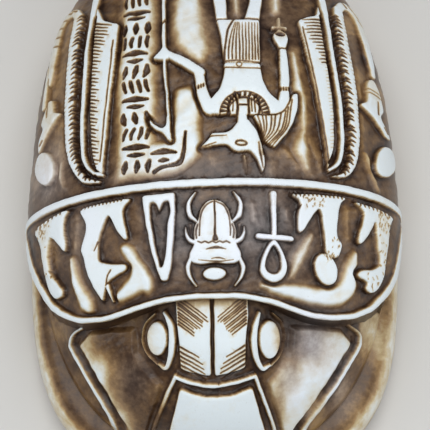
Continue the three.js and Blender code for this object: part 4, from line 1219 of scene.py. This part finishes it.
def noise(tree, place, scale, detail, roughness=0.55, distortion=0.0):
    return add_node(tree, "ShaderNodeTexNoise", Vector=place, Scale=scale, Detail=detail,
                    Roughness=roughness, Distortion=distortion).outputs["Fac"]


def maths(tree, operation, first, second, clamp=False):
    made = add_node(tree, "ShaderNodeMath", operation=operation, use_clamp=clamp)
    put(tree, made.inputs[0], first)
    put(tree, made.inputs[1], second)
    return made.outputs["Value"]


def blend(tree, kind, share, first, second):
    made = add_node(tree, "ShaderNodeMix", data_type="RGBA", blend_type=kind)
    for place, value in ((0, share), (6, first), (7, second)):
        put(tree, made.inputs[place], value)
    return made.outputs[2]


def ramp(tree, share, stops):
    made = add_node(tree, "ShaderNodeValToRGB", Fac=share)
    elements = made.color_ramp.elements
    for position, _ in stops[2:]:
        elements.new(position)
    for element, (position, colour) in zip(elements, stops):
        element.position = position
        element.color = colour + (1,)
    return made.outputs["Color"]


# From dark dirt and painted shade to bare stone
STONE_COLOURS = [
    (0.0, (0.020, 0.007, 0.002)), (0.18, (0.064, 0.030, 0.012)), (0.36, (0.150, 0.082, 0.034)),
    (0.54, (0.325, 0.196, 0.080)), (0.70, (0.545, 0.430, 0.245)), (0.84, (0.700, 0.685, 0.605)),
    (0.96, (0.735, 0.800, 0.830)),
]


def mottled(tree, tone, cloud, grain):
    """The tone with blotches, stronger where the tone is dark, on dirt and on painted shade."""
    cloud_part = maths(tree, "MULTIPLY", maths(tree, "SUBTRACT", cloud, 0.5), 0.62)
    grain_part = maths(tree, "MULTIPLY", maths(tree, "SUBTRACT", grain, 0.5), 0.42)
    dirt_and_shade = maths(tree, "SUBTRACT", 1.30, tone)
    blotch = maths(tree, "MULTIPLY", maths(tree, "ADD", cloud_part, grain_part), dirt_and_shade)
    return maths(tree, "ADD", tone, blotch, clamp=True)


def stained_stone_with_painted_sheen():
    """Glossy pale stone, stained brown in the carving, with a painted sheen on the dirt; tone says how much
    is left bare, and also carries painted light and shade.
    """
    material, tree, shader = blank_material("stained_stone_with_painted_sheen")
    place = add_node(tree, "ShaderNodeTexCoord").outputs["Object"]
    tone = add_node(tree, "ShaderNodeAttribute", attribute_name="tone").outputs["Fac"]
    painted_sheen = add_node(tree, "ShaderNodeAttribute", attribute_name="painted_sheen").outputs["Fac"]
    cloud = noise(tree, place, 170, 5, 0.62, 0.5)
    grain = noise(tree, place, 950, 4, 0.62)
    speck = noise(tree, place, 2600, 3, 0.7)
    stone = ramp(tree, mottled(tree, tone, cloud, grain), STONE_COLOURS)
    # a painted greyish mauve sheen on the dirt, standing in for its gloss reflecting the lamps
    grey = add_node(tree, "ShaderNodeHueSaturation", Saturation=0.12, Value=1.12, Color=stone)
    mauve = blend(tree, "MULTIPLY", 1.0, grey.outputs["Color"], (0.96, 0.97, 1.08, 1))
    stone = blend(tree, "MIX", maths(tree, "MULTIPLY", painted_sheen, 0.8), stone, mauve)
    # fine dark specks
    dots = maths(tree, "MULTIPLY", maths(tree, "GREATER_THAN", speck, 0.69), 0.4)
    stone = blend(tree, "MULTIPLY", dots, stone, (0.45, 0.34, 0.25, 1))
    put(tree, shader.inputs["Base Color"], stone)
    put(tree, shader.inputs["Roughness"], maths(tree, "ADD", maths(tree, "MULTIPLY", grain, 0.24), 0.24))
    shader.inputs["Specular IOR Level"].default_value = 0.38
    height = maths(tree, "ADD", maths(tree, "MULTIPLY", cloud, 2.0), grain)
    bump = add_node(tree, "ShaderNodeBump", Strength=0.4, Distance=0.00014, Height=height)
    put(tree, shader.inputs["Normal"], bump.outputs["Normal"])
    return material


def floor_material():
    material, tree, shader = blank_material("pale_floor")
    cloud = noise(tree, add_node(tree, "ShaderNodeTexCoord").outputs["Object"], 6, 4)
    colour = ramp(tree, cloud, [(0, (0.60, 0.59, 0.57)), (1, (0.68, 0.67, 0.65))])
    put(tree, shader.inputs["Base Color"], colour)
    shader.inputs["Roughness"].default_value = 0.85
    return material


# Scene

def add_floor():
    mesh = bpy.data.meshes.new("floor")
    half = 2.0
    mesh.from_pydata([(-half, -half, 0), (half, -half, 0), (half, half, 0), (-half, half, 0)], [],
                     [(0, 1, 2, 3)])
    mesh.materials.append(floor_material())
    floor = bpy.data.objects.new("floor", mesh)
    bpy.context.collection.objects.link(floor)


def add_light(name, place, size, power, colour=(1, 1, 1)):
    """A lamp turned toward the middle of the scarab."""
    middle = Vector((0, -0.005, 0.03))
    lamp = bpy.data.lights.new(name, "AREA")
    lamp.shape = "RECTANGLE"
    lamp.size, lamp.size_y = size
    lamp.energy = power
    lamp.color = colour
    made = bpy.data.objects.new(name, lamp)
    made.location = place
    made.rotation_mode = "QUATERNION"
    made.rotation_quaternion = (middle - Vector(place)).to_track_quat("-Z", "Y")
    bpy.context.collection.objects.link(made)


def add_lights():
    add_light("overhead", (0, 0.12, 0.60), (0.50, 0.40), 2.4)
    add_light("left_side", (-0.50, -0.05, 0.22), (0.30, 0.40), 0.7)
    add_light("right_side", (0.50, -0.05, 0.22), (0.30, 0.40), 0.8)
    add_light("front", (0, -0.45, 0.40), (0.40, 0.25), 1.1, (0.92, 0.97, 1.0))
    world = bpy.data.worlds.new("studio")
    world.use_nodes = True
    background = world.node_tree.nodes["Background"]
    background.inputs["Color"].default_value = (0.95, 0.97, 1.0, 1)
    background.inputs["Strength"].default_value = 0.14
    bpy.context.scene.world = world


def add_camera():
    """The photograph's view: 72 degrees above the horizon from the head's side, turned slightly."""
    elevation = math.radians(72.0)
    roll = math.radians(0.9)
    target = Vector((0.25, -12.5, 36.0)) * MM
    distance = 330 * MM
    ahead = Vector((0, math.cos(elevation), -math.sin(elevation)))
    right = Vector((1, 0, 0))
    above = right.cross(ahead)
    turned_right = right * math.cos(roll) - above * math.sin(roll)
    turned_above = right * math.sin(roll) + above * math.cos(roll)
    lens = bpy.data.cameras.new("camera")
    lens.sensor_width = 36
    lens.lens = 36 * FOCAL_PIXELS / PHOTO_WIDTH
    lens.clip_start = 0.01
    camera = bpy.data.objects.new("camera", lens)
    axes = Matrix((turned_right, turned_above, -ahead)).transposed().to_4x4()
    camera.matrix_world = Matrix.Translation(target - ahead * distance) @ axes
    bpy.context.collection.objects.link(camera)
    bpy.context.scene.camera = camera


def add_scarab():
    shells = [
        thinned("back", back_shell(back_carving()), BACK_TRIANGLES),
        thinned("bed", bed_shell(bed_carving()), BED_TRIANGLES),
        slab_shell(),
        waist_shell(),
    ]
    scarab = mesh_object("carved_scarab", *joined(shells))
    vertices, _, _ = arrays_of(scarab.data)
    # a greyish mauve sheen is painted on these places, standing in for the gloss's reflection of the lamps
    painted_sheen = scarab.data.attributes.new("painted_sheen", "FLOAT", "POINT")
    painted_sheen.data.foreach_set("value", where_sheen_is_painted(vertices[:, 0], vertices[:, 1]).astype(np.float32))
    scarab.data.shade_smooth()
    scarab.data.set_sharp_from_angle(angle=math.radians(CREASE_DEGREES))
    scarab.data.materials.append(stained_stone_with_painted_sheen())
    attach(scarab, "root")
    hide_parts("scarab")
    print("triangles", len(scarab.data.polygons))


bpy.context.scene.view_settings.view_transform = "Standard"
add_scarab()
add_floor()
add_lights()
add_camera()
